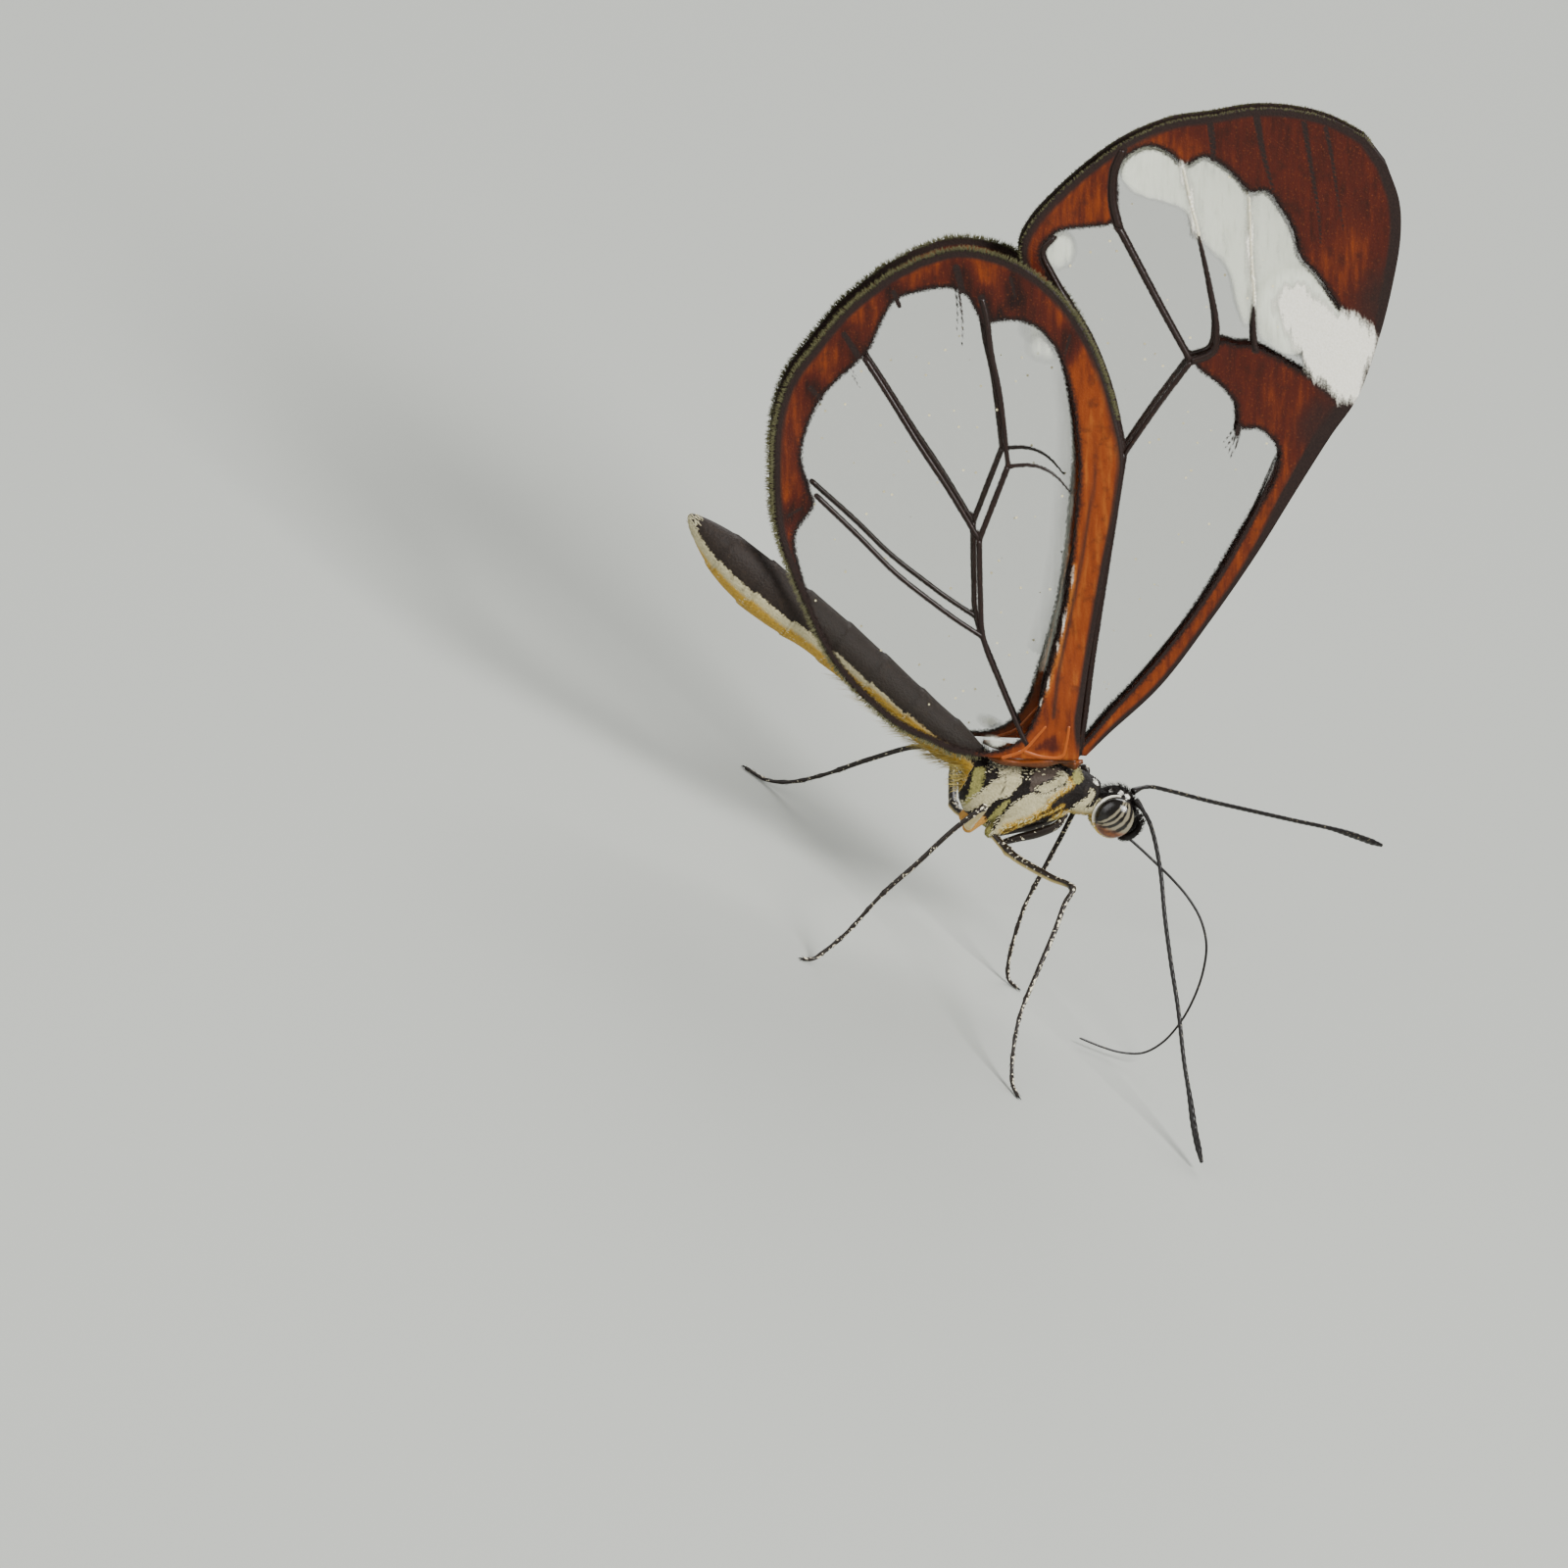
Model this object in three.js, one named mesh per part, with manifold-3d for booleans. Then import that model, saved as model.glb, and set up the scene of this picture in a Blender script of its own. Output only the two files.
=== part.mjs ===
// A glasswing butterfly that stands with its four clear wings closed over its back.
// Millimetres, +Z up, head toward +X, the animal's right side toward -Y.
// Its four walking legs stand on the floor at z = 0. The body leans a little toward its left side.

import * as THREE from 'three';
import { mergeVertices } from 'three/addons/utils/BufferGeometryUtils.js';
import ManifoldModule from 'manifold-3d';

const wasm = await ManifoldModule();
wasm.setup();

// Driving sizes
const BODY_LEAN = THREE.MathUtils.degToRad(7.8);
const THORAX_PITCH = THREE.MathUtils.degToRad(27);
const NODE_GAP = 0.3;
const WING_THICKNESS = 0.5;
const VEIN_HEIGHT = 0.12;
const VEIN_SINK = 0.16;
const LIMB_RADIUS = 0.26;
const TIP_RADIUS = 0.2;
const FOOT_HEIGHT = 0.12;
const MIDPLANE_GAP = 0.15;
const HINDWING_CLEAR = 1.08;
const ABDOMEN_HALF_WIDTH = 0.95;
const THORAX_HALF_WIDTH = 1.3;
const THORAX_HALF_HEIGHT = 1.4;
const THORAX_AXIS_OFFSET = 6.75;
const EYE_RADIUS = 0.88;
const ORIGIN_SHIFT = new THREE.Vector3(-1.018, 0.184, 0);

// Colours of the slots
const COLOURS = {
  dark_cuticle: 0x1c1613,
  eye: 0x8f8a7c,
  cream_scales: 0xc9bd94,
  thorax_scales: 0x6a6150,
  abdomen_scales: 0x4a4030,
  wing: 0x9a6a3c,
};

const group = new THREE.Group();
group.name = 'glasswing_butterfly';

// Small helpers for points, curves and closed meshes

function vec(x, y, z) {
  return new THREE.Vector3(x, y, z);
}

// A point given along the thorax axis, across it and up from it
function thoraxPoint(along, side, up) {
  const x = along * Math.cos(THORAX_PITCH) - up * Math.sin(THORAX_PITCH);
  const z = along * Math.sin(THORAX_PITCH) + up * Math.cos(THORAX_PITCH);
  return vec(x, side, z);
}

function smooth(edge0, edge1, value) {
  const t = THREE.MathUtils.clamp((value - edge0) / (edge1 - edge0), 0, 1);
  return t * t * (3 - 2 * t);
}

function curveThrough(points) {
  return new THREE.CatmullRomCurve3(points, false, 'centripetal');
}

function planeCurve(points) {
  return curveThrough(points.map(([x, z]) => vec(x, 0, z)));
}

function signedVolume(position, index) {
  let total = 0;
  const a = vec(0, 0, 0);
  const b = vec(0, 0, 0);
  const c = vec(0, 0, 0);
  for (let i = 0; i < index.length; i += 3) {
    a.fromArray(position, index[i] * 3);
    b.fromArray(position, index[i + 1] * 3);
    c.fromArray(position, index[i + 2] * 3);
    total += a.dot(b.cross(c)) / 6;
  }
  return total;
}

// An indexed mesh turned so that its faces point outward
function closedMesh(vertices, index) {
  const position = vertices.flatMap((v) => [v.x, v.y, v.z]);
  if (signedVolume(position, index) < 0) {
    for (let i = 0; i < index.length; i += 3) {
      [index[i + 1], index[i + 2]] = [index[i + 2], index[i + 1]];
    }
  }
  const geometry = new THREE.BufferGeometry();
  geometry.setAttribute('position', new THREE.Float32BufferAttribute(position, 3));
  geometry.setIndex(index);
  return geometry;
}

// Rings of equal count joined into a closed skin with a fan at each end
function skinRings(rings) {
  const count = rings[0].length;
  const vertices = rings.flat();
  const index = [];
  for (let r = 0; r + 1 < rings.length; r += 1) {
    for (let k = 0; k < count; k += 1) {
      const next = (k + 1) % count;
      const a = r * count + k;
      const b = r * count + next;
      const c = a + count;
      const d = b + count;
      index.push(a, b, d, a, d, c);
    }
  }
  const addCap = (ring, first, turned) => {
    const centre = ring.reduce((sum, v) => sum.add(v), vec(0, 0, 0)).divideScalar(count);
    const middle = vertices.length;
    vertices.push(centre);
    for (let k = 0; k < count; k += 1) {
      const a = first + k;
      const b = first + ((k + 1) % count);
      index.push(...(turned ? [middle, b, a] : [middle, a, b]));
    }
  };
  addCap(rings[0], 0, true);
  addCap(rings[rings.length - 1], (rings.length - 1) * count, false);
  return closedMesh(vertices, index);
}

// A round limb along a smooth path, with its radius given as a function of 0 to 1
function sweep(points, radiusAt, sides = 8, steps = 14) {
  const curve = curveThrough(points);
  const frames = curve.computeFrenetFrames(steps, false);
  const rings = [];
  for (let i = 0; i <= steps; i += 1) {
    const u = i / steps;
    const centre = curve.getPointAt(u);
    const radius = radiusAt(u);
    const ring = [];
    for (let k = 0; k < sides; k += 1) {
      const angle = (2 * Math.PI * k) / sides;
      const offset = frames.normals[i].clone().multiplyScalar(Math.cos(angle) * radius);
      offset.addScaledVector(frames.binormals[i], Math.sin(angle) * radius);
      ring.push(centre.clone().add(offset));
    }
    rings.push(ring);
  }
  return skinRings(rings);
}

// A body length along a path in the middle plane: each station has its place and half sizes
function bodyLoft(stations, sides, squareness = 2) {
  const rings = stations.map((station, i) => {
    const before = stations[Math.max(i - 1, 0)].at;
    const after = stations[Math.min(i + 1, stations.length - 1)].at;
    const along = after.clone().sub(before).normalize();
    const up = vec(-along.z, 0, along.x);
    if (up.z < 0) {
      up.negate();
    }
    const ring = [];
    for (let k = 0; k < sides; k += 1) {
      const angle = (2 * Math.PI * (k + 0.5)) / sides;
      const c = Math.cos(angle);
      const s = Math.sin(angle);
      const power = 2 / squareness;
      const across = Math.sign(c) * Math.abs(c) ** power * station.wide;
      const rise = Math.sign(s) * Math.abs(s) ** power * station.high;
      ring.push(station.at.clone().addScaledVector(up, rise).add(vec(0, across, 0)));
    }
    return ring;
  });
  return skinRings(rings);
}

function ellipsoid(centre, radii, detail = 14) {
  const geometry = new THREE.SphereGeometry(1, detail, Math.round(detail * 0.7));
  geometry.scale(radii.x, radii.y, radii.z);
  geometry.translate(centre.x, centre.y, centre.z);
  return geometry;
}

function toSolid(geometry) {
  const copy = geometry.clone();
  copy.deleteAttribute('normal');
  copy.deleteAttribute('uv');
  const merged = mergeVertices(copy, 1e-5);
  const mesh = new wasm.Mesh({
    numProp: 3,
    vertProperties: new Float32Array(merged.attributes.position.array),
    triVerts: new Uint32Array(merged.index.array),
  });
  return new wasm.Manifold(mesh);
}

// The largest closed surface of a solid, as a geometry
function toGeometry(solid) {
  const pieces = solid.decompose();
  pieces.sort((a, b) => b.volume() - a.volume());
  const mesh = pieces[0].getMesh();
  const geometry = new THREE.BufferGeometry();
  const position = [];
  for (let i = 0; i < mesh.vertProperties.length; i += mesh.numProp) {
    position.push(mesh.vertProperties[i], mesh.vertProperties[i + 1], mesh.vertProperties[i + 2]);
  }
  geometry.setAttribute('position', new THREE.Float32BufferAttribute(position, 3));
  geometry.setIndex(Array.from(mesh.triVerts));
  return geometry;
}

function joined(geometries) {
  return geometries.map(toSolid).reduce((sum, next) => sum.add(next));
}

// Body pieces are drawn upright and then leaned about the floor line under the body
const leanMatrix = new THREE.Matrix4().makeRotationX(-BODY_LEAN);

function addNode(name, slot, geometry, leans) {
  const placed = geometry.clone();
  if (leans) {
    placed.applyMatrix4(leanMatrix);
  }
  placed.translate(ORIGIN_SHIFT.x, ORIGIN_SHIFT.y, ORIGIN_SHIFT.z);
  placed.deleteAttribute('normal');
  const material = new THREE.MeshStandardMaterial({
    color: COLOURS[slot],
    roughness: 0.6,
    metalness: 0,
  });
  material.name = slot;
  const mesh = new THREE.Mesh(placed, material);
  mesh.name = name;
  group.add(mesh);
}

// Head, with a socket for each eye

const HEAD_CENTRE = vec(5.65, 0, 9.45);
const HEAD_RADII = vec(1.1, 0.95, 1.15);
const EYE_CENTRE = vec(5.68, 0.88, 9.2);
const EYE_DEPTH = 0.48;

function eyeBall(side, grow) {
  const centre = vec(EYE_CENTRE.x, side * EYE_CENTRE.y, EYE_CENTRE.z);
  const radii = vec(EYE_RADIUS + grow, EYE_DEPTH + grow, EYE_RADIUS + grow);
  return ellipsoid(centre, radii, 18);
}

const headBall = ellipsoid(HEAD_CENTRE, HEAD_RADII, 20);
let headSolid = toSolid(headBall);
for (const side of [-1, 1]) {
  headSolid = headSolid.subtract(toSolid(eyeBall(side, NODE_GAP * 0.8)));
}
addNode('head', 'dark_cuticle', toGeometry(headSolid), true);
addNode('eye_right', 'eye', eyeBall(-1, 0), true);
addNode('eye_left', 'eye', eyeBall(1, 0), true);

// Palps, in front of the face

for (const [name, side] of [['palp_right', -1], ['palp_left', 1]]) {
  const path = [
    vec(6.72, side * 0.62, 8.15),
    vec(7.12, side * 0.6, 8.75),
    vec(7.22, side * 0.56, 9.45),
  ];
  const palp = sweep(path, (u) => 0.27 - 0.12 * u * u, 8, 6);
  addNode(name, 'cream_scales', palp, true);
}

// Thorax: a barrel with the four coxae of the walking legs and a ridge where the wings root

const thoraxStations = [
  [2.45, 6.9, 0.45, 0.5],
  [2.7, 6.9, 0.82, 0.95],
  [3.3, 6.85, 1.12, 1.25],
  [4.3, 6.8, THORAX_HALF_WIDTH, THORAX_HALF_HEIGHT],
  [5.6, THORAX_AXIS_OFFSET, THORAX_HALF_WIDTH, THORAX_HALF_HEIGHT],
  [6.7, 6.8, 1.2, 1.3],
  [7.25, 6.8, 1.0, 1.05],
];

const thoraxBarrel = bodyLoft(
  thoraxStations.map(([along, up, wide, high]) => ({ at: thoraxPoint(along, 0, up), wide, high })),
  20,
  2.6,
);

const COXAE = {
  mid: { top: vec(2.3, 0.75, 8.1), tip: vec(1.05, 0.82, 6.35) },
  hind: { top: vec(0.7, 0.7, 7.9), tip: vec(0.05, 0.78, 6.1) },
};

function coxa(kind, side) {
  const { top, tip } = COXAE[kind];
  const start = vec(top.x, side * top.y, top.z);
  const end = vec(tip.x, side * tip.y, tip.z);
  const middle = start.clone().lerp(end, 0.6);
  return sweep([start, middle, end], (u) => 0.62 - 0.3 * u, 10, 6);
}

function wingRootRidge(side) {
  const path = [3.4, 4.8, 6.2, 7.1].map((along) => thoraxPoint(along, side * 0.92, 7.6));
  return sweep(path, (u) => 0.28 + 0.14 * Math.sin(Math.PI * u), 8, 8);
}

const ABDOMEN_BASE = vec(-1.25, 0, 8.82);
const thoraxPieces = [thoraxBarrel];
for (const side of [-1, 1]) {
  thoraxPieces.push(coxa('mid', side), coxa('hind', side), wingRootRidge(side));
}
const abdomenSeat = ellipsoid(ABDOMEN_BASE, vec(1.3, 1.25, 1.22), 16);
addNode('thorax', 'thorax_scales', toGeometry(joined(thoraxPieces).subtract(toSolid(abdomenSeat))), true);

// Prothorax: the neck between the thorax and the head

const neckStations = [
  [7.55, 6.75, 0.9, 0.98],
  [7.95, 6.6, 0.98, 1.0],
  [8.35, 6.45, 0.9, 0.9],
  [8.8, 6.3, 0.75, 0.75],
];
const neckBarrel = bodyLoft(
  neckStations.map(([along, up, wide, high]) => ({ at: thoraxPoint(along, 0, up), wide, high })),
  16,
  2.4,
);
const headSeat = ellipsoid(HEAD_CENTRE, HEAD_RADII.clone().addScalar(NODE_GAP), 20);
let neckSolid = toSolid(neckBarrel).subtract(toSolid(headSeat));
for (const side of [-1, 1]) {
  neckSolid = neckSolid.subtract(toSolid(eyeBall(side, NODE_GAP)));
}
addNode('prothorax', 'cream_scales', toGeometry(neckSolid), true);

// Abdomen: a spindle of seven rings, deepest near its last third

const abdomenStations = [
  [-1.3, 8.85, 0.8],
  [-2.4, 9.1, 0.98],
  [-4.1, 9.5, 1.06],
  [-6.2, 10.1, 1.1],
  [-8.2, 10.65, 1.14],
  [-10.2, 11.15, 1.18],
  [-12.2, 11.5, 1.28],
  [-14.2, 12.0, 1.22],
  [-15.9, 12.6, 0.9],
  [-17.1, 13.05, 0.45],
  [-17.6, 13.25, 0.2],
];
const ABDOMEN_RINGS = 26;
const abdomenCentre = planeCurve(abdomenStations.map(([x, z]) => [x, z]));
const abdomenDepth = planeCurve(abdomenStations.map(([x, , high]) => [x, high]));

function abdomenRing(u) {
  const at = abdomenCentre.getPoint(u);
  const high = abdomenDepth.getPoint(u).z;
  const groove = 1 - 0.025 * (0.5 + 0.5 * Math.cos(2 * Math.PI * 7 * u));
  const wide = Math.min(ABDOMEN_HALF_WIDTH, high * 0.86);
  return { at, wide: wide * groove, high: high * groove };
}

const abdomenRings = [];
for (let i = 0; i <= ABDOMEN_RINGS; i += 1) {
  abdomenRings.push(abdomenRing(i / ABDOMEN_RINGS));
}
addNode('abdomen', 'abdomen_scales', bodyLoft(abdomenRings, 16), true);

// Proboscis: one long curved tube in three lengths

const proboscisPath = [
  vec(7.1, 1.08, 8.38),
  vec(8.55, 0.86, 8.04),
  vec(9.4, 0.6, 7.82),
  vec(10.4, 0.3, 7.45),
  vec(11.3, 0, 6.9),
  vec(12.0, -0.4, 6.1),
  vec(12.4, -0.8, 5.0),
  vec(12.55, -1.2, 3.8),
  vec(12.5, -1.5, 2.7),
  vec(12.2, -1.8, 1.6),
  vec(11.6, -2.1, 0.85),
  vec(10.7, -2.3, 0.5),
  vec(9.8, -2.45, 0.4),
  vec(8.6, -2.6, 0.38),
];

// One length of a path between two parts of its run, ended short by half the gap
function partOfPath(points, from, to, gapBefore, gapAfter) {
  const curve = curveThrough(points);
  const length = curve.getLength();
  const start = from + (gapBefore ? NODE_GAP / 2 / length : 0);
  const end = to - (gapAfter ? NODE_GAP / 2 / length : 0);
  const count = 8;
  const picked = [];
  for (let i = 0; i <= count; i += 1) {
    picked.push(curve.getPointAt(start + ((end - start) * i) / count));
  }
  return picked;
}

const proboscisLengths = [
  ['proboscis_base', 0, 0.34],
  ['proboscis_bend', 0.34, 0.68],
  ['proboscis_tip', 0.68, 1],
];
for (const [name, from, to] of proboscisLengths) {
  const path = partOfPath(proboscisPath, from, to, from > 0, to < 1);
  const radiusAt = (u) => 0.26 - 0.05 * smooth(0.8, 1, from + (to - from) * u);
  addNode(name, 'dark_cuticle', sweep(path, radiusAt, 8, 12), false);
}

// Antennae: thin shafts with a slender club over the last fifth

const antennaPaths = {
  antenna_right: [
    vec(6.35, 0.86, 10.68),
    vec(7.15, 0.09, 9.95),
    vec(8.2, -1.17, 8.74),
    vec(9.15, -2.56, 7.3),
    vec(10.14, -3.97, 5.93),
    vec(11.1, -5.26, 4.68),
    vec(12.17, -6.8, 3.12),
    vec(13.0, -7.95, 2.05),
    vec(13.6, -8.9, 1.25),
    vec(14.3, -10.2, 0.5),
  ],
  antenna_left: [
    vec(6.2, 1.95, 10.62),
    vec(6.9, 2.39, 10.75),
    vec(7.82, 3.02, 10.66),
    vec(9.94, 4.46, 10.42),
    vec(12.3, 6.06, 10.24),
    vec(14.61, 7.63, 10.09),
    vec(16.97, 9.24, 9.94),
    vec(19.62, 11.0, 9.53),
  ],
};
for (const [name, path] of Object.entries(antennaPaths)) {
  const radiusAt = (u) => 0.23 + 0.05 * smooth(0.78, 0.88, u) - 0.12 * smooth(0.95, 1, u);
  addNode(name, 'dark_cuticle', sweep(path, radiusAt, 8, 22), false);
}

// Folded forelegs, held along the underside of the thorax

for (const [name, side] of [['foreleg_right', -1], ['foreleg_left', 1]]) {
  const path = [
    vec(3.75, side * 0.62, 7.72),
    vec(3.0, side * 0.62, 7.1),
    vec(2.3, side * 0.62, 6.55),
    vec(1.75, side * 0.66, 6.0),
  ];
  addNode(name, 'dark_cuticle', sweep(path, (u) => 0.27 - 0.06 * u, 8, 8), true);
}

// Walking legs: an upper and a lower length each, parted at the knee

const floorBox = new THREE.BoxGeometry(80, 80, 10).translate(0, 0, -5);
const floorSolid = toSolid(floorBox);

function coxaTip(kind, side) {
  const { tip } = COXAE[kind];
  return vec(tip.x, side * tip.y, tip.z).applyMatrix4(leanMatrix);
}

const legs = [
  {
    name: 'midleg_right',
    hip: coxaTip('mid', -1),
    upper: [vec(2.07, -0.99, 6.2), vec(2.95, -1.95, 6.45), vec(4.5, -3.65, 7.1)],
    lower: [
      vec(4.5, -4.25, 6.6),
      vec(4.46, -5.3, 5.57),
      vec(4.33, -6.9, 3.96),
      vec(4.25, -8.53, 2.35),
      vec(4.57, -9.97, 1.0),
      vec(4.95, -10.8, 0.28),
      vec(5.3, -11.4, FOOT_HEIGHT),
    ],
  },
  {
    name: 'midleg_left',
    hip: coxaTip('mid', 1),
    upper: [vec(1.9, 3.0, 6.75), vec(2.95, 3.4, 8.3), vec(4.05, 3.3, 9.7)],
    lower: [
      vec(4.4, 3.0, 9.3),
      vec(4.5, 2.5, 7.3),
      vec(4.48, 2.05, 5.4),
      vec(4.45, 1.5, 3.4),
      vec(4.65, 1.1, 2.0),
      vec(5.0, 0.8, 0.7),
      vec(5.3, 0.6, 0.25),
      vec(5.8, 0.4, FOOT_HEIGHT),
    ],
  },
  {
    name: 'hindleg_right',
    hip: coxaTip('hind', -1),
    upper: [vec(-0.3, -1.2, 6.8), vec(-0.5, -2.5, 7.8), vec(-0.83, -3.95, 8.82)],
    lower: [
      vec(-1.05, -4.3, 8.5),
      vec(-1.64, -4.61, 7.55),
      vec(-2.48, -5.27, 5.57),
      vec(-3.28, -5.87, 3.8),
      vec(-3.96, -6.55, 1.71),
      vec(-4.45, -6.9, 0.7),
      vec(-4.8, -7.15, 0.25),
      vec(-5.3, -7.45, FOOT_HEIGHT),
    ],
  },
  {
    name: 'hindleg_left',
    hip: coxaTip('hind', 1),
    upper: [vec(-0.35, 2.6, 5.75), vec(-0.55, 4.4, 6.1), vec(-0.75, 6.3, 6.4)],
    lower: [
      vec(-1.1, 6.85, 6.3),
      vec(-1.97, 7.19, 5.79),
      vec(-3.33, 8.08, 3.98),
      vec(-4.65, 9.03, 1.9),
      vec(-5.6, 9.6, 0.75),
      vec(-6.5, 10.05, 0.22),
      vec(-7.5, 10.55, FOOT_HEIGHT),
    ],
  },
];

for (const leg of legs) {
  const outward = leg.upper[0].clone().sub(leg.hip).normalize();
  const start = leg.hip.clone().addScaledVector(outward, 0.62);
  const upperPath = [start, ...leg.upper];
  const upper = sweep(upperPath, (u) => LIMB_RADIUS + 0.03 * Math.sin(Math.PI * u), 8, 10);
  addNode(`${leg.name}_upper`, 'dark_cuticle', upper, false);
  const lower = sweep(leg.lower, (u) => LIMB_RADIUS - (LIMB_RADIUS - TIP_RADIUS) * u * u, 8, 18);
  addNode(`${leg.name}_lower`, 'dark_cuticle', toGeometry(toSolid(lower).subtract(floorSolid)), false);
}

// Wings: each is one curved vane between its leading and trailing edges, with raised veins

const forewing = {
  lead: [[3.35, 11.25], [3.73, 12.52], [4.75, 15.45], [5.35, 19.18], [5.96, 26.37], [6.37, 31.02],
    [5.93, 33.74], [5.37, 36.11], [4.6, 38.42], [3.8, 39.85], [2.51, 41.1]],
  trail: [[1.6, 10.45], [0.75, 11.6], [-0.55, 15.5], [-1.67, 19.52], [-2.78, 23.03], [-4.47, 26.26],
    [-7.14, 28.51], [-10.1, 30.1], [-10.35, 31.91], [-9.15, 35.53], [-6.92, 38.69], [-3.94, 40.8],
    [-0.63, 41.85], [1.1, 41.8]],
  veins: [
    { path: [[3.2, 11.9], [4.35, 15.45], [5.0, 19.2], [5.6, 26.4], [6.0, 31.0], [5.55, 33.7],
      [4.3, 38.2], [2.3, 40.7], [-0.63, 41.5], [-3.94, 40.4], [-6.8, 38.3], [-8.9, 35.4],
      [-9.95, 31.91], [-9.75, 30.4], [-7.0, 28.9]], wide: 0.6 },
    { path: [[2.6, 11.6], [3.3, 15.6], [3.9, 19.4], [4.3, 26.0], [4.5, 31.0]], wide: 0.45 },
    { path: [[2.3, 11.6], [0.58, 17.57], [-1.77, 24.38], [-1.01, 29.41], [-6.79, 33.29],
      [-8.9, 35.0]], wide: 0.4 },
    { path: [[-1.01, 29.41], [-0.37, 30.07], [-1.09, 31.45], [-2.42, 33.23], [-3.69, 34.79],
      [-5.24, 36.62], [-6.4, 38.3]], wide: 0.35 },
    { path: [[-0.37, 30.07], [1.36, 30.71], [4.2, 31.0]], wide: 0.45 },
    { path: [[1.36, 30.71], [0.14, 32.85], [-1.02, 34.97], [-2.5, 37.4], [-3.4, 40.2]], wide: 0.35 },
    { path: [[3.0, 31.0], [1.9, 34.3], [0.6, 38.0], [-0.2, 41.3]], wide: 0.35 },
    { path: [[-2.6, 23.6], [-4.9, 27.2], [-9.3, 30.4]], wide: 0.4 },
  ],
};

const hindwing = {
  lead: [[2.95, 11.3], [2.04, 13.3], [0.92, 16.1], [-0.12, 19.3], [-1.05, 22.29], [-1.85, 24.28],
    [-3.06, 25.82], [-4.79, 27.61], [-6.5, 28.91], [-8.5, 29.81], [-10.16, 30.06], [-12.91, 29.39],
    [-14.13, 28.24]],
  trail: [[-0.9, 9.45], [-3.0, 9.05], [-5.03, 8.96], [-8.37, 9.97], [-11.27, 12.0], [-14.08, 14.64],
    [-16.28, 18.83], [-16.66, 20.78], [-16.39, 22.78], [-15.94, 24.83], [-15.0, 27.0]],
  veins: [
    { path: [[2.5, 11.7], [1.6, 13.3], [0.5, 16.1], [-0.5, 19.2], [-1.45, 22.2], [-2.2, 24.1],
      [-3.4, 25.5], [-5.1, 27.3], [-6.8, 28.5], [-8.6, 29.4], [-10.3, 29.6], [-12.6, 29.0],
      [-13.8, 27.9], [-15.5, 24.7], [-15.95, 22.7], [-16.2, 20.7], [-15.85, 19.0], [-13.75, 15.0],
      [-11.0, 12.4], [-8.2, 10.4], [-5.0, 9.4], [-2.5, 9.5]], wide: 0.55 },
    { path: [[1.2, 11.2], [0.12, 11.2], [-3.63, 14.25], [-5.84, 18.09], [-6.31, 21.7],
      [-10.07, 27.17], [-11.6, 29.0]], wide: 0.4 },
    { path: [[-6.31, 21.7], [-5.49, 22.11], [-4.26, 22.2], [-2.6, 23.6]], wide: 0.35 },
    { path: [[-5.84, 18.09], [-14.21, 23.04], [-15.6, 23.7]], wide: 0.35 },
    { path: [[-3.63, 14.25], [-5.09, 14.5], [-7.89, 14.96], [-10.43, 15.85], [-13.27, 16.85],
      [-15.0, 17.4]], wide: 0.35 },
    { path: [[1.4, 11.4], [-0.3, 15.0], [-1.6, 19.0], [-2.6, 23.0]], wide: 0.35 },
  ],
};

// How far the inner face of each wing stands out from the middle plane
function forewingInner() {
  return MIDPLANE_GAP;
}

function hindwingInner(x, z) {
  const alongRear = smooth(-8.5, -15, x);
  const aboveBody = smooth(13.5, 18, z - 0.1 * x);
  const besideBody = 0.2 * (1 - smooth(12.5, 16.5, z + 0.25 * x));
  return HINDWING_CLEAR + besideBody - 0.5 * alongRear * aboveBody;
}

const SPAN_STEPS = 26;
const CHORD_STEPS = 5;

function wingSlab(shape, inner, side) {
  const lead = planeCurve(shape.lead);
  const trail = planeCurve(shape.trail);
  const columns = CHORD_STEPS + 1;
  const faces = [[], []];
  for (let i = 0; i <= SPAN_STEPS; i += 1) {
    const u = i / SPAN_STEPS;
    const front = lead.getPointAt(u);
    const back = trail.getPointAt(u);
    for (let j = 0; j < columns; j += 1) {
      const p = front.clone().lerp(back, j / CHORD_STEPS);
      const depth = inner(p.x, p.z);
      faces[0].push(vec(p.x, side * depth, p.z));
      faces[1].push(vec(p.x, side * (depth + WING_THICKNESS), p.z));
    }
  }
  const vertices = [...faces[0], ...faces[1]];
  const far = faces[0].length;
  const index = [];
  for (let i = 0; i < SPAN_STEPS; i += 1) {
    for (let j = 0; j < CHORD_STEPS; j += 1) {
      const a = i * columns + j;
      const b = a + 1;
      const c = a + columns;
      const d = c + 1;
      index.push(a, b, d, a, d, c);
      index.push(far + a, far + d, far + b, far + a, far + c, far + d);
    }
  }
  const edge = [];
  for (let j = 0; j < CHORD_STEPS; j += 1) {
    edge.push(j);
  }
  for (let i = 0; i < SPAN_STEPS; i += 1) {
    edge.push(i * columns + CHORD_STEPS);
  }
  for (let j = CHORD_STEPS; j > 0; j -= 1) {
    edge.push(SPAN_STEPS * columns + j);
  }
  for (let i = SPAN_STEPS; i > 0; i -= 1) {
    edge.push(i * columns);
  }
  edge.forEach((a, k) => {
    const b = edge[(k + 1) % edge.length];
    index.push(b, a, far + a, b, far + a, far + b);
  });
  return closedMesh(vertices, index);
}

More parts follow.
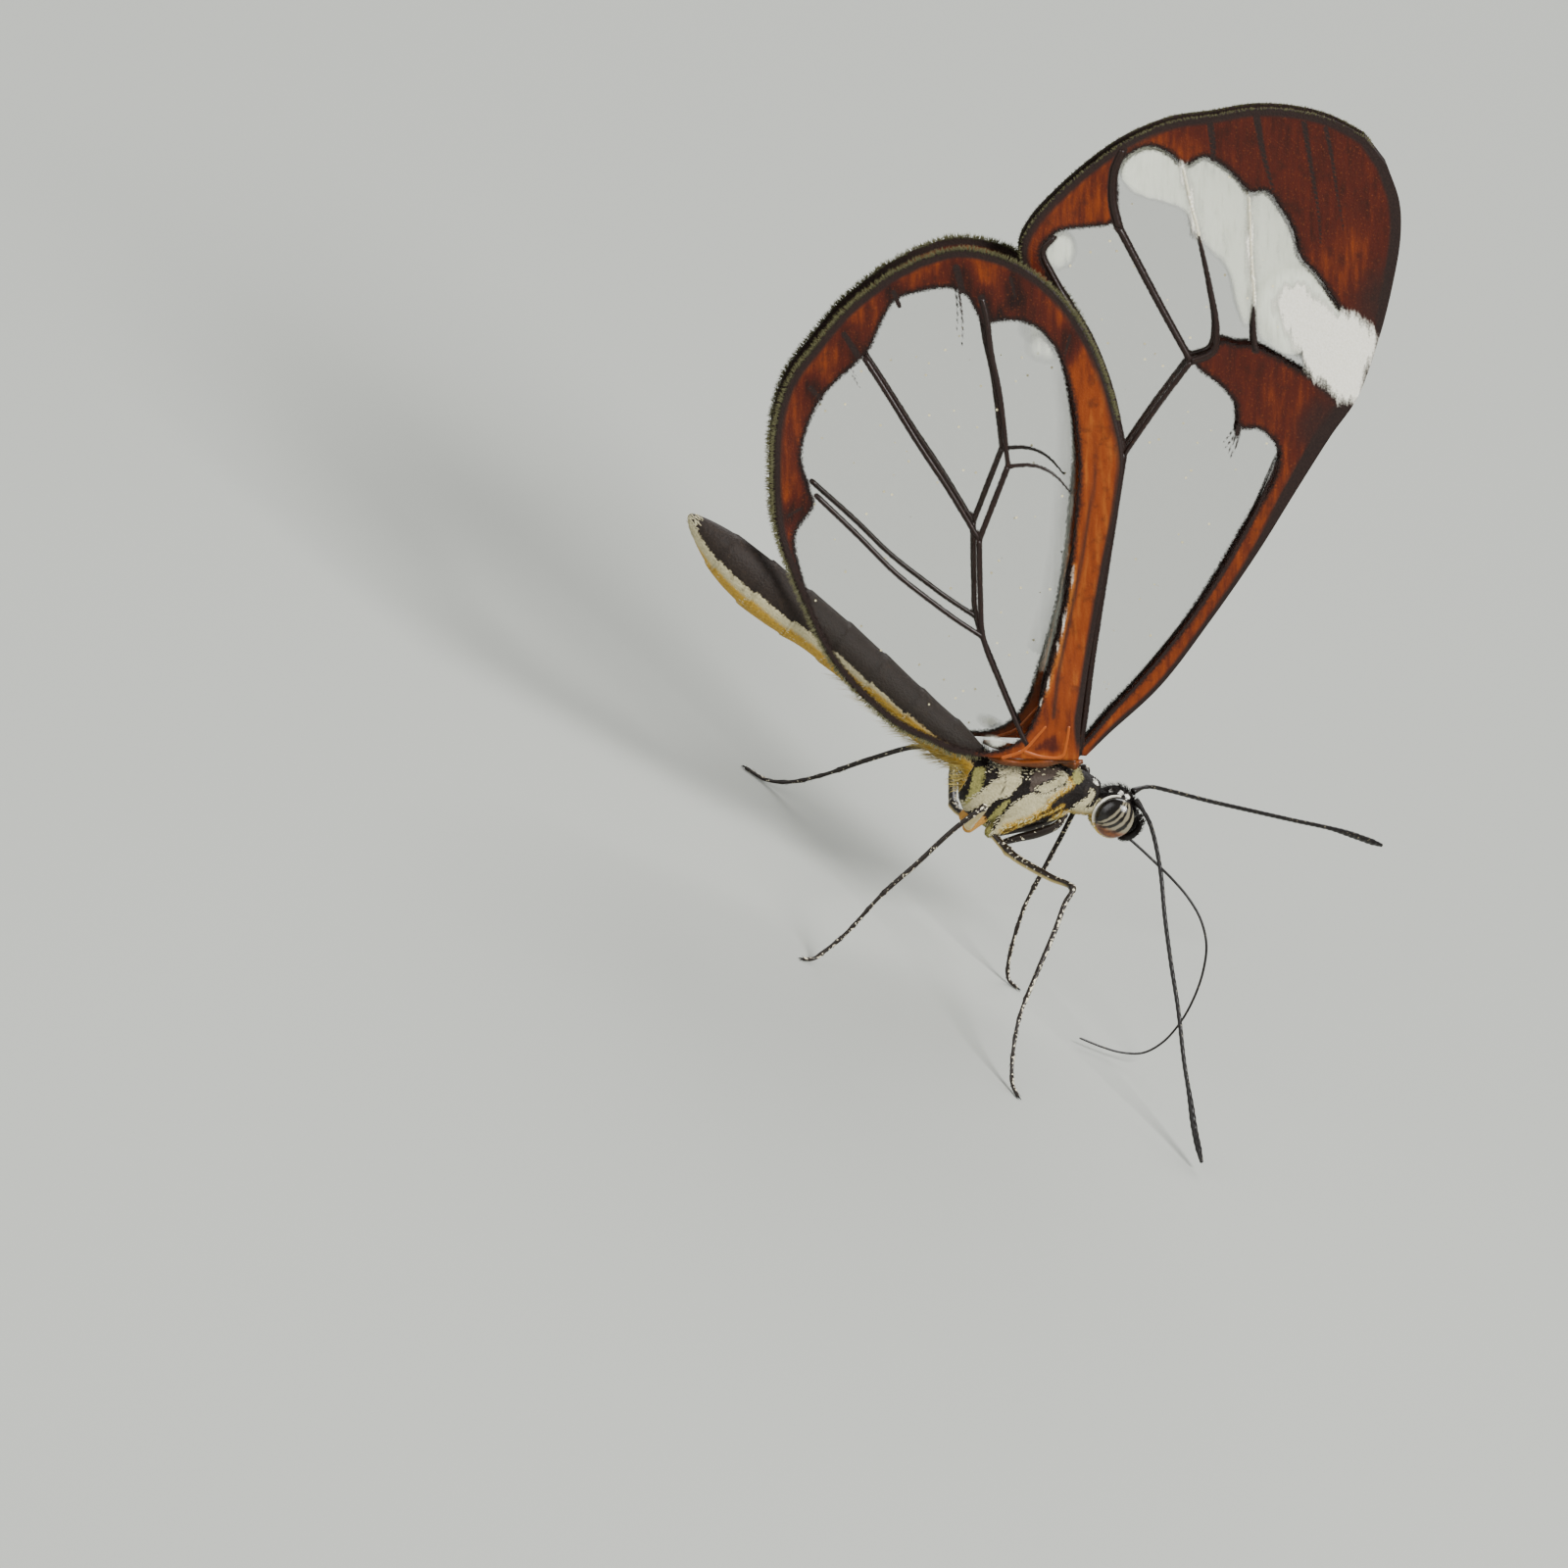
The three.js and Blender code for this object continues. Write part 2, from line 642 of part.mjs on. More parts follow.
// A vein is a low four-sided ridge that follows the wing's outer face
function veinRidge(vein, inner, side) {
  const curve = planeCurve(vein.path);
  const steps = Math.max(4, Math.round(curve.getLength() / 1.6));
  const rings = [];
  for (let i = 0; i <= steps; i += 1) {
    const p = curve.getPointAt(i / steps);
    const t = curve.getTangentAt(i / steps);
    const across = vec(-t.z, 0, t.x);
    const corner = (offset, rise) => {
      const q = p.clone().addScaledVector(across, offset);
      q.y = side * (inner(q.x, q.z) + WING_THICKNESS + rise);
      return q;
    };
    const half = vein.wide / 2;
    rings.push([
      corner(-half, -VEIN_SINK),
      corner(half, -VEIN_SINK),
      corner(half * 0.6, VEIN_HEIGHT),
      corner(-half * 0.6, VEIN_HEIGHT),
    ]);
  }
  return skinRings(rings);
}

const wings = [
  ['forewing_right', forewing, forewingInner, -1],
  ['forewing_left', forewing, forewingInner, 1],
  ['hindwing_right', hindwing, hindwingInner, -1],
  ['hindwing_left', hindwing, hindwingInner, 1],
];
for (const [name, shape, inner, side] of wings) {
  const ridges = shape.veins.map((vein) => veinRidge(vein, inner, side));
  const solid = joined([wingSlab(shape, inner, side), ...ridges]);
  addNode(name, 'wing', toGeometry(solid), true);
}

export default group;
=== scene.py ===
import math

import bpy
import numpy as np
from mathutils import Matrix, Vector


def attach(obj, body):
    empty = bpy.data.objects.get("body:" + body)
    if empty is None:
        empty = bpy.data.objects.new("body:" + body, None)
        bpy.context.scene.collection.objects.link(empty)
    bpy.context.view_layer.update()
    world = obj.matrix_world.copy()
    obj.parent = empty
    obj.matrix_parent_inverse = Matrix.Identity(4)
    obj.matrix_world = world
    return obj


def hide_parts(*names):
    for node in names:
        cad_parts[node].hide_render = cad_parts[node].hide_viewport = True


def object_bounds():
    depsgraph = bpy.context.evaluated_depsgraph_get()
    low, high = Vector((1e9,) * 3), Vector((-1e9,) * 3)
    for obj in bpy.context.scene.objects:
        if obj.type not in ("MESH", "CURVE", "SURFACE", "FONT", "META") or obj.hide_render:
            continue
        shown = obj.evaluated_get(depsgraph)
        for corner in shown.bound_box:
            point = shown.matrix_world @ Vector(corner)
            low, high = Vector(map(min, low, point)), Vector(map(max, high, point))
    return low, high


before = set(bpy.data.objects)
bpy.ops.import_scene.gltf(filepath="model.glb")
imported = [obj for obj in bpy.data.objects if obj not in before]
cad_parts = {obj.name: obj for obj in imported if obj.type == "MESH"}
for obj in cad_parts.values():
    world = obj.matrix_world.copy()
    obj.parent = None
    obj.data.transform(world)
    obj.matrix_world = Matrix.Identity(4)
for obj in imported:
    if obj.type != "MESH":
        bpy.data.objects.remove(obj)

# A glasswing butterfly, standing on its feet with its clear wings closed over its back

cad_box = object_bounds()
BOX_LOW = np.array(cad_box[0])
BOX_HIGH = np.array(cad_box[1])
MM = 0.001

# Places in this script are millimetres, in the upright frame of the animal's own middle plane:
# x forward, side to its left, z up. The body then leans to its left about the floor line.
BODY_LEAN = math.radians(7.8)
ORIGIN_SHIFT = np.array([-1.018, 0.184, 0.0])
THORAX_PITCH = math.radians(27)

# The clear film keeps this little of its colour, so that what stands behind it shows through
CLEAR_FILM_ALPHA = 0.05
# Each scale or hair is a patch this wide on the skin's unwrap
TUFT_PATCH = 0.003
# A hair's tip stays this many millimetres within the CAD model's box
BOX_MARGIN = 0.03


def placed(points, leans=True):
    """Upright millimetres to metres in the frame, kept within the CAD model's box."""
    p = np.asarray(points, float).reshape(-1, 3)
    if leans:
        c = math.cos(BODY_LEAN)
        s = math.sin(BODY_LEAN)
        p = np.column_stack([p[:, 0], p[:, 1] * c + p[:, 2] * s, p[:, 2] * c - p[:, 1] * s])
    return np.clip((p + ORIGIN_SHIFT) * MM, BOX_LOW, BOX_HIGH)


def smooth(low, high, value):
    """A soft step of a value, from nought at low to one at high."""
    t = np.clip((np.asarray(value, float) - low) / (high - low), 0, 1)
    return t * t * (3 - 2 * t)


def unit(vectors):
    """The same directions with a length of one."""
    return vectors / np.maximum(np.linalg.norm(vectors, axis=1), 1e-9)[:, None]


def distance_along(line):
    """How far each point of a line is from its start."""
    return np.concatenate([[0], np.cumsum(np.linalg.norm(np.diff(line, axis=0), axis=1))])


def spline(points, count, closed=False):
    """Centripetal curve through the points, sampled evenly along its length."""
    p = np.asarray(points, float)
    if closed:
        p = np.vstack([p[-1:], p, p[:2]])
    else:
        p = np.vstack([2 * p[0] - p[1], p, 2 * p[-1] - p[-2]])
    out = []
    for i in range(1, len(p) - 2):
        a, b, c, d = p[i - 1], p[i], p[i + 1], p[i + 2]
        t1 = max(np.linalg.norm(b - a), 1e-6) ** 0.5
        t2 = t1 + max(np.linalg.norm(c - b), 1e-6) ** 0.5
        t3 = t2 + max(np.linalg.norm(d - c), 1e-6) ** 0.5
        t = np.linspace(t1, t2, 16, endpoint=False)[:, None]
        a1 = (t1 - t) / t1 * a + t / t1 * b
        a2 = (t2 - t) / (t2 - t1) * b + (t - t1) / (t2 - t1) * c
        a3 = (t3 - t) / (t3 - t2) * c + (t - t2) / (t3 - t2) * d
        b1 = (t2 - t) / t2 * a1 + t / t2 * a2
        b2 = (t3 - t) / (t3 - t1) * a2 + (t - t1) / (t3 - t1) * a3
        out.append((t2 - t) / (t2 - t1) * b1 + (t - t1) / (t2 - t1) * b2)
    out.append(p[-2][None])
    dense = np.vstack(out)
    run = distance_along(dense)
    at = np.linspace(0, run[-1], count + (1 if closed else 0))
    even = np.column_stack([np.interp(at, run, dense[:, k]) for k in range(dense.shape[1])])
    return even[:-1] if closed else even


def line_distance(points, line):
    """Distance from each point to an open line, and how far along the line the nearest place is."""
    a = line[:-1]
    d = line[1:] - a
    best = np.full(len(points), 1e9)
    where = np.zeros(len(points))
    for i in range(len(a)):
        length = max(float(d[i] @ d[i]), 1e-12)
        t = np.clip(((points - a[i]) @ d[i]) / length, 0, 1)
        gap = np.linalg.norm(points - a[i] - t[:, None] * d[i], axis=1)
        nearer = gap < best
        best = np.where(nearer, gap, best)
        where = np.where(nearer, (i + t) / len(a), where)
    return best, where


def region_distance(points, outline):
    """Signed distance to a closed outline, positive inside."""
    loop = np.vstack([outline, outline[:1]])
    gap, _ = line_distance(points, loop)
    inside = np.zeros(len(points), bool)
    x, z = points[:, 0], points[:, 1]
    for a, b in zip(loop[:-1], loop[1:]):
        crosses = (a[1] > z) != (b[1] > z)
        with np.errstate(divide="ignore", invalid="ignore"):
            at = a[0] + (z - a[1]) / (b[1] - a[1]) * (b[0] - a[0])
        inside ^= crosses & (x < at)
    return np.where(inside, gap, -gap)


# Materials: each is named for what it is, and its pattern's size is the real one in mm

def srgb(text):
    """An sRGB hex colour as linear values."""
    channels = [int(text[i:i + 2], 16) / 255 for i in (1, 3, 5)]
    linear = [c / 12.92 if c <= 0.04045 else ((c + 0.055) / 1.055) ** 2.4 for c in channels]
    return (*linear, 1.0)


def of_size(size_mm):
    """The scale of a texture node whose pattern is this many millimetres wide."""
    return 1 / (size_mm * MM)


def add(tree, kind, inputs, output=0, **settings):
    """Adds one shader node. Each input is a value or another node's output; one output comes back."""
    node = tree.nodes.new("ShaderNode" + kind)
    for name, value in settings.items():
        setattr(node, name, value)
    for name, value in inputs.items():
        if isinstance(value, bpy.types.NodeSocket):
            tree.links.new(value, node.inputs[name])
        else:
            node.inputs[name].default_value = value
    return node.outputs[output] if node.outputs else None


def blank_material(name):
    """A material with no nodes yet."""
    material = bpy.data.materials.new(name)
    material.use_nodes = True
    material.node_tree.nodes.clear()
    return material


# Settings that many of the nodes share
SOFT = {"interpolation_type": "SMOOTHSTEP"}
COLOUR = {"data_type": "RGBA", "output": 2}
SUM = {"operation": "MULTIPLY_ADD"}
LARGER = {"operation": "MAXIMUM"}


# Wing membrane: a chitin film a few hundredths of a millimetre thick, nearly clear, dusted with
# flat scales on its borders. The scales give the rust, black and white, and hide the film there.
def wing_material():
    material = blank_material("scaled_chitin_film")
    tree = material.node_tree
    place = add(tree, "TexCoord", {}, "Object")
    fine = add(tree, "TexNoise", {"Vector": place, "Scale": of_size(0.09), "Detail": 3.0})
    medium = add(tree, "TexNoise", {"Vector": place, "Scale": of_size(0.5), "Detail": 3.0})
    along_wing = add(tree, "Mapping", {"Vector": place, "Rotation": (0, math.radians(-27), 0),
                                       "Scale": (1.0, 1.0, 9.0)}, vector_type="TEXTURE")
    streaks = add(tree, "TexNoise", {"Vector": along_wing, "Scale": of_size(0.26), "Detail": 3.0})
    speckle = add(tree, "Math", {0: fine, 1: 0.5}, operation="SUBTRACT")
    comb = add(tree, "Math", {0: streaks, 1: 0.5}, operation="SUBTRACT")
    field = {}
    for name in ("rust", "vein", "edge", "chalk", "tone", "black", "veil"):
        field[name] = add(tree, "Attribute", {}, "Fac", attribute_name=name)
    # the border of each field is ragged by single scales, and chalk and tone also by combed streaks
    for name, source, amount in (("rust", speckle, 0.3), ("vein", speckle, 0.075), ("edge", speckle, 0.09),
                                 ("chalk", speckle, 0.3), ("chalk", comb, 1.1), ("tone", comb, 0.66)):
        field[name] = add(tree, "Math", {0: source, 1: amount, 2: field[name]}, **SUM)
    # rust scales, from dark chestnut to bright orange, with single darker and lighter scales
    scales = srgb("#140603")
    for value, low, high, most, colour in ((field["tone"], 0.0, 0.5, 1.0, "#431305"),
                                           (field["tone"], 0.42, 0.85, 1.0, "#783206"),
                                           (field["tone"], 0.8, 1.2, 1.0, "#A8601C"),
                                           (fine, 0.56, 0.75, 0.16, "#A85A24"),
                                           (medium, 0.5, 0.75, 0.45, "#240C05")):
        shown = add(tree, "MapRange", {0: value, 1: low, 2: high, 4: most}, **SOFT)
        scales = add(tree, "Mix", {0: shown, 6: scales, 7: srgb(colour)}, **COLOUR)
    # the scaled field darkens to brown-black where it meets the clear window
    rim = add(tree, "MapRange", {0: field["rust"], 1: 0.04, 2: 0.32, 3: 1.0, 4: 0.0}, **SOFT)
    scales = add(tree, "Mix", {0: rim, 6: scales, 7: srgb("#160905")}, **COLOUR)
    on_vein = add(tree, "MapRange", {0: field["vein"], 1: -0.02, 2: 0.07, 3: 1.0, 4: 0.0}, **SOFT)
    dark = add(tree, "Math", {0: on_vein, 1: field["black"]}, **LARGER)
    black = add(tree, "Mix", {0: fine, 6: srgb("#0E0807"), 7: srgb("#2E1F1A")}, **COLOUR)
    scales = add(tree, "Mix", {0: dark, 6: scales, 7: black}, **COLOUR)
    white = add(tree, "Mix", {0: fine, 6: srgb("#D8D4C2"), 7: srgb("#FFFBEE")}, **COLOUR)
    chalky = add(tree, "MapRange", {0: field["chalk"], 1: -0.3, 2: 0.15}, **SOFT)
    scales = add(tree, "Mix", {0: chalky, 6: scales, 7: white}, **COLOUR)
    # pale half-clear scales thin out from the chalky band
    thinned = add(tree, "MapRange", {0: streaks, 1: 0.25, 2: 0.6, 3: 0.72, 4: 1.05}, **SOFT)
    veil = add(tree, "Math", {0: field["veil"], 1: thinned}, operation="MULTIPLY")
    # loose scales lie on the clear film as single bright specks
    spots = add(tree, "TexVoronoi", {"Vector": place, "Scale": of_size(0.9)}, "Distance")
    loose = add(tree, "MapRange", {0: spots, 1: 0.055, 2: 0.075, 3: 0.9, 4: 0.0}, **SOFT)
    # where the scales cover the film, and a wider place where the film takes their colour
    covered = chalky
    tinted = chalky
    for name, low, high, start, end in (("rust", -0.12, 0.1, 0.0, 1.0), ("vein", -0.03, 0.05, 1.0, 0.0),
                                        ("edge", 0.1, 0.2, 1.0, 0.0)):
        shown = add(tree, "MapRange", {0: field[name], 1: low, 2: high, 3: start, 4: end}, **SOFT)
        covered = add(tree, "Math", {0: covered, 1: shown}, **LARGER)
    for name, low, high, start, end in (("rust", -0.25, -0.1, 0.0, 1.0), ("vein", 0.0, 0.12, 1.0, 0.0)):
        shown = add(tree, "MapRange", {0: field[name], 1: low, 2: high, 3: start, 4: end}, **SOFT)
        tinted = add(tree, "Math", {0: tinted, 1: shown}, **LARGER)
    pale = add(tree, "MapRange", {0: veil, 1: 0.05, 2: 0.4}, **SOFT)
    film = add(tree, "Mix", {0: pale, 6: srgb("#34362E"), 7: srgb("#E6E9D8")}, **COLOUR)
    film = add(tree, "Mix", {0: loose, 6: film, 7: srgb("#E9DFB4")}, **COLOUR)
    colour = add(tree, "Mix", {0: tinted, 6: film, 7: scales}, **COLOUR)
    alpha = add(tree, "Math", {0: veil, 1: CLEAR_FILM_ALPHA}, **LARGER)
    for shown in (covered, loose):
        alpha = add(tree, "Math", {0: alpha, 1: shown}, **LARGER)
    gloss = add(tree, "MapRange", {0: covered, 3: 0.18, 4: 0.55}, **SOFT)
    height = add(tree, "Math", {0: fine, 1: covered}, operation="MULTIPLY")
    normal = add(tree, "Bump", {"Height": height, "Strength": 0.5, "Distance": 0.03 * MM})
    surface = add(tree, "BsdfPrincipled", {"Base Color": colour, "Alpha": alpha, "Roughness": gloss,
                                           "Normal": normal, "IOR": 1.5, "Specular IOR Level": 0.22})
    add(tree, "OutputMaterial", {"Surface": surface})
    return material


# Cuticle: hard dark chitin with a low gloss and a few pale scales, yellower on the underside
def cuticle_material(name, dark, light, speck, amount, under="#1A120C"):
    material = blank_material(name)
    tree = material.node_tree
    place = add(tree, "TexCoord", {}, "Object")
    fine = add(tree, "TexNoise", {"Vector": place, "Scale": of_size(0.12), "Detail": 3.0})
    specks = add(tree, "TexNoise", {"Vector": place, "Scale": of_size(0.13), "Detail": 1.0})
    colour = add(tree, "Mix", {0: fine, 6: srgb(dark), 7: srgb(light)}, **COLOUR)
    below = add(tree, "Attribute", {}, "Fac", attribute_name="under")
    colour = add(tree, "Mix", {0: below, 6: colour, 7: srgb(under)}, **COLOUR)
    # pale scales lie thicker where the piece's speck value is high
    thicker = add(tree, "Attribute", {}, "Fac", attribute_name="speck")
    scales = add(tree, "Math", {0: thicker, 1: 0.16, 2: specks}, **SUM)
    shown = add(tree, "MapRange", {0: scales, 1: 1.0 - amount, 2: 1.03 - amount}, **SOFT)
    colour = add(tree, "Mix", {0: shown, 6: colour, 7: srgb(speck)}, **COLOUR)
    normal = add(tree, "Bump", {"Height": fine, "Strength": 0.5, "Distance": 0.03 * MM})
    surface = add(tree, "BsdfPrincipled", {"Base Color": colour, "Roughness": 0.36, "Normal": normal,
                                           "Specular IOR Level": 0.35})
    add(tree, "OutputMaterial", {"Surface": surface})
    return material


# The coats of scales on the body: name, darkest and lightest colour, and how soft the patch's edge is
BODY_COATS = [("grey", "#2E2620", "#5A4E46", 0.05), ("plum", "#15100E", "#30261F", 0.06),
              ("cream", "#857C58", "#D2C9A2", 0.04), ("gold", "#7E5A14", "#CFA83E", 0.12),
              ("olive", "#5C5A2C", "#A8A260", 0.06), ("orange", "#8A5A1E", "#CC9C50", 0.1),
              ("white", "#D8D2C4", "#FFFDF4", 0.04)]


# Body scales: overlapping flat scales, matt, in cream, gold and olive patches on brown-black skin
def body_material():
    material = blank_material("scaled_body_skin")
    tree = material.node_tree
    place = add(tree, "TexCoord", {}, "Object")
    fine = add(tree, "TexNoise", {"Vector": place, "Scale": of_size(0.1), "Detail": 3.0})
    medium = add(tree, "TexNoise", {"Vector": place, "Scale": of_size(0.35), "Detail": 2.0})
    speckle = add(tree, "Math", {0: fine, 1: 0.5}, operation="SUBTRACT")
    colour = add(tree, "Mix", {0: fine, 6: srgb("#050302"), 7: srgb("#1A110D")}, **COLOUR)
    for name, low, high, soft in BODY_COATS:
        patch = add(tree, "Attribute", {}, "Fac", attribute_name=name)
        ragged = add(tree, "Math", {0: speckle, 1: 0.3, 2: patch}, **SUM)
        shown = add(tree, "MapRange", {0: ragged, 1: -soft, 2: soft}, **SOFT)
        scales = add(tree, "Mix", {0: fine, 6: srgb(low), 7: srgb(high)}, **COLOUR)
        colour = add(tree, "Mix", {0: shown, 6: colour, 7: scales}, **COLOUR)
    cloudy = add(tree, "MapRange", {0: medium, 1: 0.55, 2: 0.8, 4: 0.35}, **SOFT)
    colour = add(tree, "Mix", {0: cloudy, 6: colour, 7: srgb("#3A2E22")}, **COLOUR)
    line = add(tree, "Attribute", {}, "Fac", attribute_name="line")
    colour = add(tree, "Mix", {0: line, 6: colour, 7: srgb("#0C0806")}, **COLOUR)
    normal = add(tree, "Bump", {"Height": fine, "Strength": 0.8, "Distance": 0.05 * MM})
    surface = add(tree, "BsdfPrincipled", {"Base Color": colour, "Roughness": 0.6, "Normal": normal,
                                           "Specular IOR Level": 0.2})
    add(tree, "OutputMaterial", {"Surface": surface})
    return material


# Compound eye: glossy domed cornea over grey-cream pigment with dark curved stripes
def eye_material():
    material = blank_material("striped_compound_eye")
    tree = material.node_tree
    place = add(tree, "TexCoord", {}, "Object")
    fine = add(tree, "TexNoise", {"Vector": place, "Scale": of_size(0.06), "Detail": 2.0})
    cloudy = add(tree, "TexNoise", {"Vector": place, "Scale": of_size(0.24), "Detail": 2.0})
    wobble = add(tree, "Math", {0: cloudy, 1: 0.5}, operation="SUBTRACT")
    stripe = add(tree, "Attribute", {}, "Fac", attribute_name="stripe")
    stripe = add(tree, "Math", {0: wobble, 1: 2.2, 2: stripe}, **SUM)
    stripe = add(tree, "MapRange", {0: stripe, 1: -0.55, 2: 0.6}, **SOFT)
    low = add(tree, "Attribute", {}, "Fac", attribute_name="low")
    pale = add(tree, "Mix", {0: low, 6: srgb("#847C66"), 7: srgb("#7E4210")}, **COLOUR)
    dark = add(tree, "Mix", {0: low, 6: srgb("#0B0806"), 7: srgb("#4A220C")}, **COLOUR)
    colour = add(tree, "Mix", {0: stripe, 6: pale, 7: dark}, **COLOUR)
    dusty = add(tree, "Math", {0: fine, 1: 0.2}, operation="MULTIPLY")
    colour = add(tree, "Mix", {0: dusty, 6: colour, 7: srgb("#3A342C")}, **COLOUR)
    facets = add(tree, "TexVoronoi", {"Vector": place, "Scale": of_size(0.035)}, "Distance")
    normal = add(tree, "Bump", {"Height": facets, "Strength": 0.3, "Distance": 0.01 * MM})
    surface = add(tree, "BsdfPrincipled", {"Base Color": colour, "Roughness": 0.13, "Normal": normal,
                                           "IOR": 1.5})
    add(tree, "OutputMaterial", {"Surface": surface})
    return material


# Hair-like scales: dry and matt, each tuft a little lighter at its tip
def tuft_material(name, root, tip):
    material = blank_material(name)
    tree = material.node_tree
    toward_tip = add(tree, "Attribute", {}, "Fac", attribute_name="tip")
    colour = add(tree, "Mix", {0: toward_tip, 6: srgb(root), 7: srgb(tip)}, **COLOUR)
    surface = add(tree, "BsdfPrincipled", {"Base Color": colour, "Roughness": 0.55,
                                           "Specular IOR Level": 0.2})
    add(tree, "OutputMaterial", {"Surface": surface})
    return material


# The eyes' rims, hinges, legs and veins are the same chitin, paler or more scaled
FILM = wing_material()
CUTICLE = cuticle_material("dark_cuticle", "#060403", "#16100C", "#6A624E", 0.2)
LEG_CUTICLE = cuticle_material("speckled_leg_cuticle", "#0C0806", "#2A1F17", "#D8CFB2", 0.32, "#C4AE6E")
HINGE = cuticle_material("orange_wing_hinge", "#2A1408", "#6E3A12", "#E6DDBE", 0.24, "#9A4A10")
RIM_SCALES = cuticle_material("eye_rim_scales", "#CFC8B4", "#F8F4E6", "#FFFDF4", 0.4, "#D8B860")
BODY = body_material()
EYE = eye_material()
TUFT_DARK = tuft_material("dark_hair_scales", "#050302", "#1C130E")
TUFT_CREAM = tuft_material("cream_hair_scales", "#6E6646", "#DAD2AE")
TUFT_GOLD = tuft_material("golden_hair_scales", "#6A5420", "#D2C070")
TUFT_WHITE = tuft_material("white_hair_scales", "#C8C2B4", "#FFFFF8")
TUFT_PLUM = tuft_material("plum_scales", "#100B09", "#2C221D")
TUFT_OLIVE = tuft_material("olive_fringe_scales", "#1E1A10", "#6E6C4A")
VEIN_DARK = cuticle_material("vein_cuticle", "#0E0705", "#2A1710", "#3A2418", 0.3)
VEIN_PALE = cuticle_material("pale_vein_scales", "#B9B294", "#E9E4CC", "#F4F1E2", 0.4)


# Meshes that all pieces share

def new_piece(name, vertices, faces, material, values=None, shade=True):
    """A mesh at its place in metres, with one number a vertex for each thing its material reads."""
    mesh = bpy.data.meshes.new(name)
    mesh.from_pydata([tuple(v) for v in vertices], [], faces)
    mesh.update()
    for key, data in (values or {}).items():
        layer = mesh.attributes.new(key, "FLOAT", "POINT")
        layer.data.foreach_set("value", np.asarray(data, np.float32))
    mesh.materials.append(material)
    if shade:
        mesh.polygons.foreach_set("use_smooth", [True] * len(mesh.polygons))
    piece = bpy.data.objects.new(name, mesh)
    bpy.context.scene.collection.objects.link(piece)
    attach(piece, "root")
    return piece


def frames_along(path):
    """Tangent, side and up of an even path, carried along without twist."""
    tangent = unit(np.gradient(path, axis=0))
    start = np.array([0.0, 1.0, 0.0])
    if abs(tangent[0] @ start) > 0.9:
        start = np.array([0.0, 0.0, 1.0])
    sides = []
    for t in tangent:
        start = start - t * (start @ t)
        start = start / np.linalg.norm(start)
        sides.append(start)
    sides = np.array(sides)
    return tangent, sides, np.cross(tangent, sides)


def ring_faces(rings, sides):
    """Faces of a closed skin over rings of points, with a cap at each end."""
    faces = []
    for i in range(rings - 1):
        for k in range(sides):
            n = (k + 1) % sides
            faces.append((i * sides + k, i * sides + n, (i + 1) * sides + n, (i + 1) * sides + k))
    faces.append(tuple(range(sides - 1, -1, -1)))
    faces.append(tuple(range((rings - 1) * sides, rings * sides)))
    return faces


def tube(path, radius, sides=12):
    """Vertices and faces of a closed round limb."""
    _, side, up = frames_along(path)
    angle = np.linspace(0, 2 * math.pi, sides, endpoint=False)
    ring = np.cos(angle)[None, :, None] * side[:, None] + np.sin(angle)[None, :, None] * up[:, None]
    vertices = path[:, None] + ring * np.asarray(radius, float)[:, None, None]
    return vertices.reshape(-1, 3), ring_faces(len(path), sides)


def joined(parts):
    """Several vertex and face lists as one."""
    vertices = []
    faces = []
    offset = 0
    for v, f in parts:
        vertices.append(v)
        faces += [tuple(i + offset for i in face) for face in f]
        offset += len(v)
    return np.vstack(vertices), faces


# Wings

FORE_LEAD = [(3.3, 11.2), (3.73, 12.52), (4.75, 15.45), (5.35, 19.18), (5.75, 22.8), (5.96, 26.37),
             (6.15, 29.07), (6.37, 31.02), (5.98, 33.74), (5.4, 36.11), (4.62, 38.42), (3.8, 39.85),
             (2.51, 41.1)]
FORE_TRAIL = [(2.2, 10.75), (0.88, 11.5), (-0.55, 15.5), (-1.67, 19.52), (-2.78, 23.03),
              (-4.47, 26.26), (-7.14, 28.51), (-9.6, 29.75), (-10.3, 30.73), (-10.35, 31.91),
              (-9.91, 33.59), (-9.15, 35.53), (-8.21, 37.21), (-6.92, 38.69), (-5.44, 39.72),
              (-3.94, 40.8), (-2.25, 41.52), (-0.63, 41.85), (1.1, 41.8)]
HIND_LEAD = [(2.85, 11.1), (2.04, 12.9), (0.92, 16.1), (-0.12, 19.3), (-1.05, 22.29), (-1.85, 24.28),
             (-3.06, 25.82), (-4.79, 27.61), (-6.5, 28.91), (-8.5, 29.81), (-10.16, 30.06),
             (-11.6, 29.9), (-12.91, 29.39), (-14.13, 28.24)]
HIND_TRAIL = [(-0.6, 9.6), (-2.21, 9.01), (-3.5, 8.98), (-5.03, 8.96), (-6.5, 9.31), (-8.37, 9.97),
              (-9.88, 10.86), (-11.27, 12.0), (-12.86, 13.36), (-14.08, 14.64), (-15.3, 16.68),
              (-16.28, 18.83), (-16.66, 20.78), (-16.39, 22.78), (-15.94, 24.83), (-15.0, 27.0)]

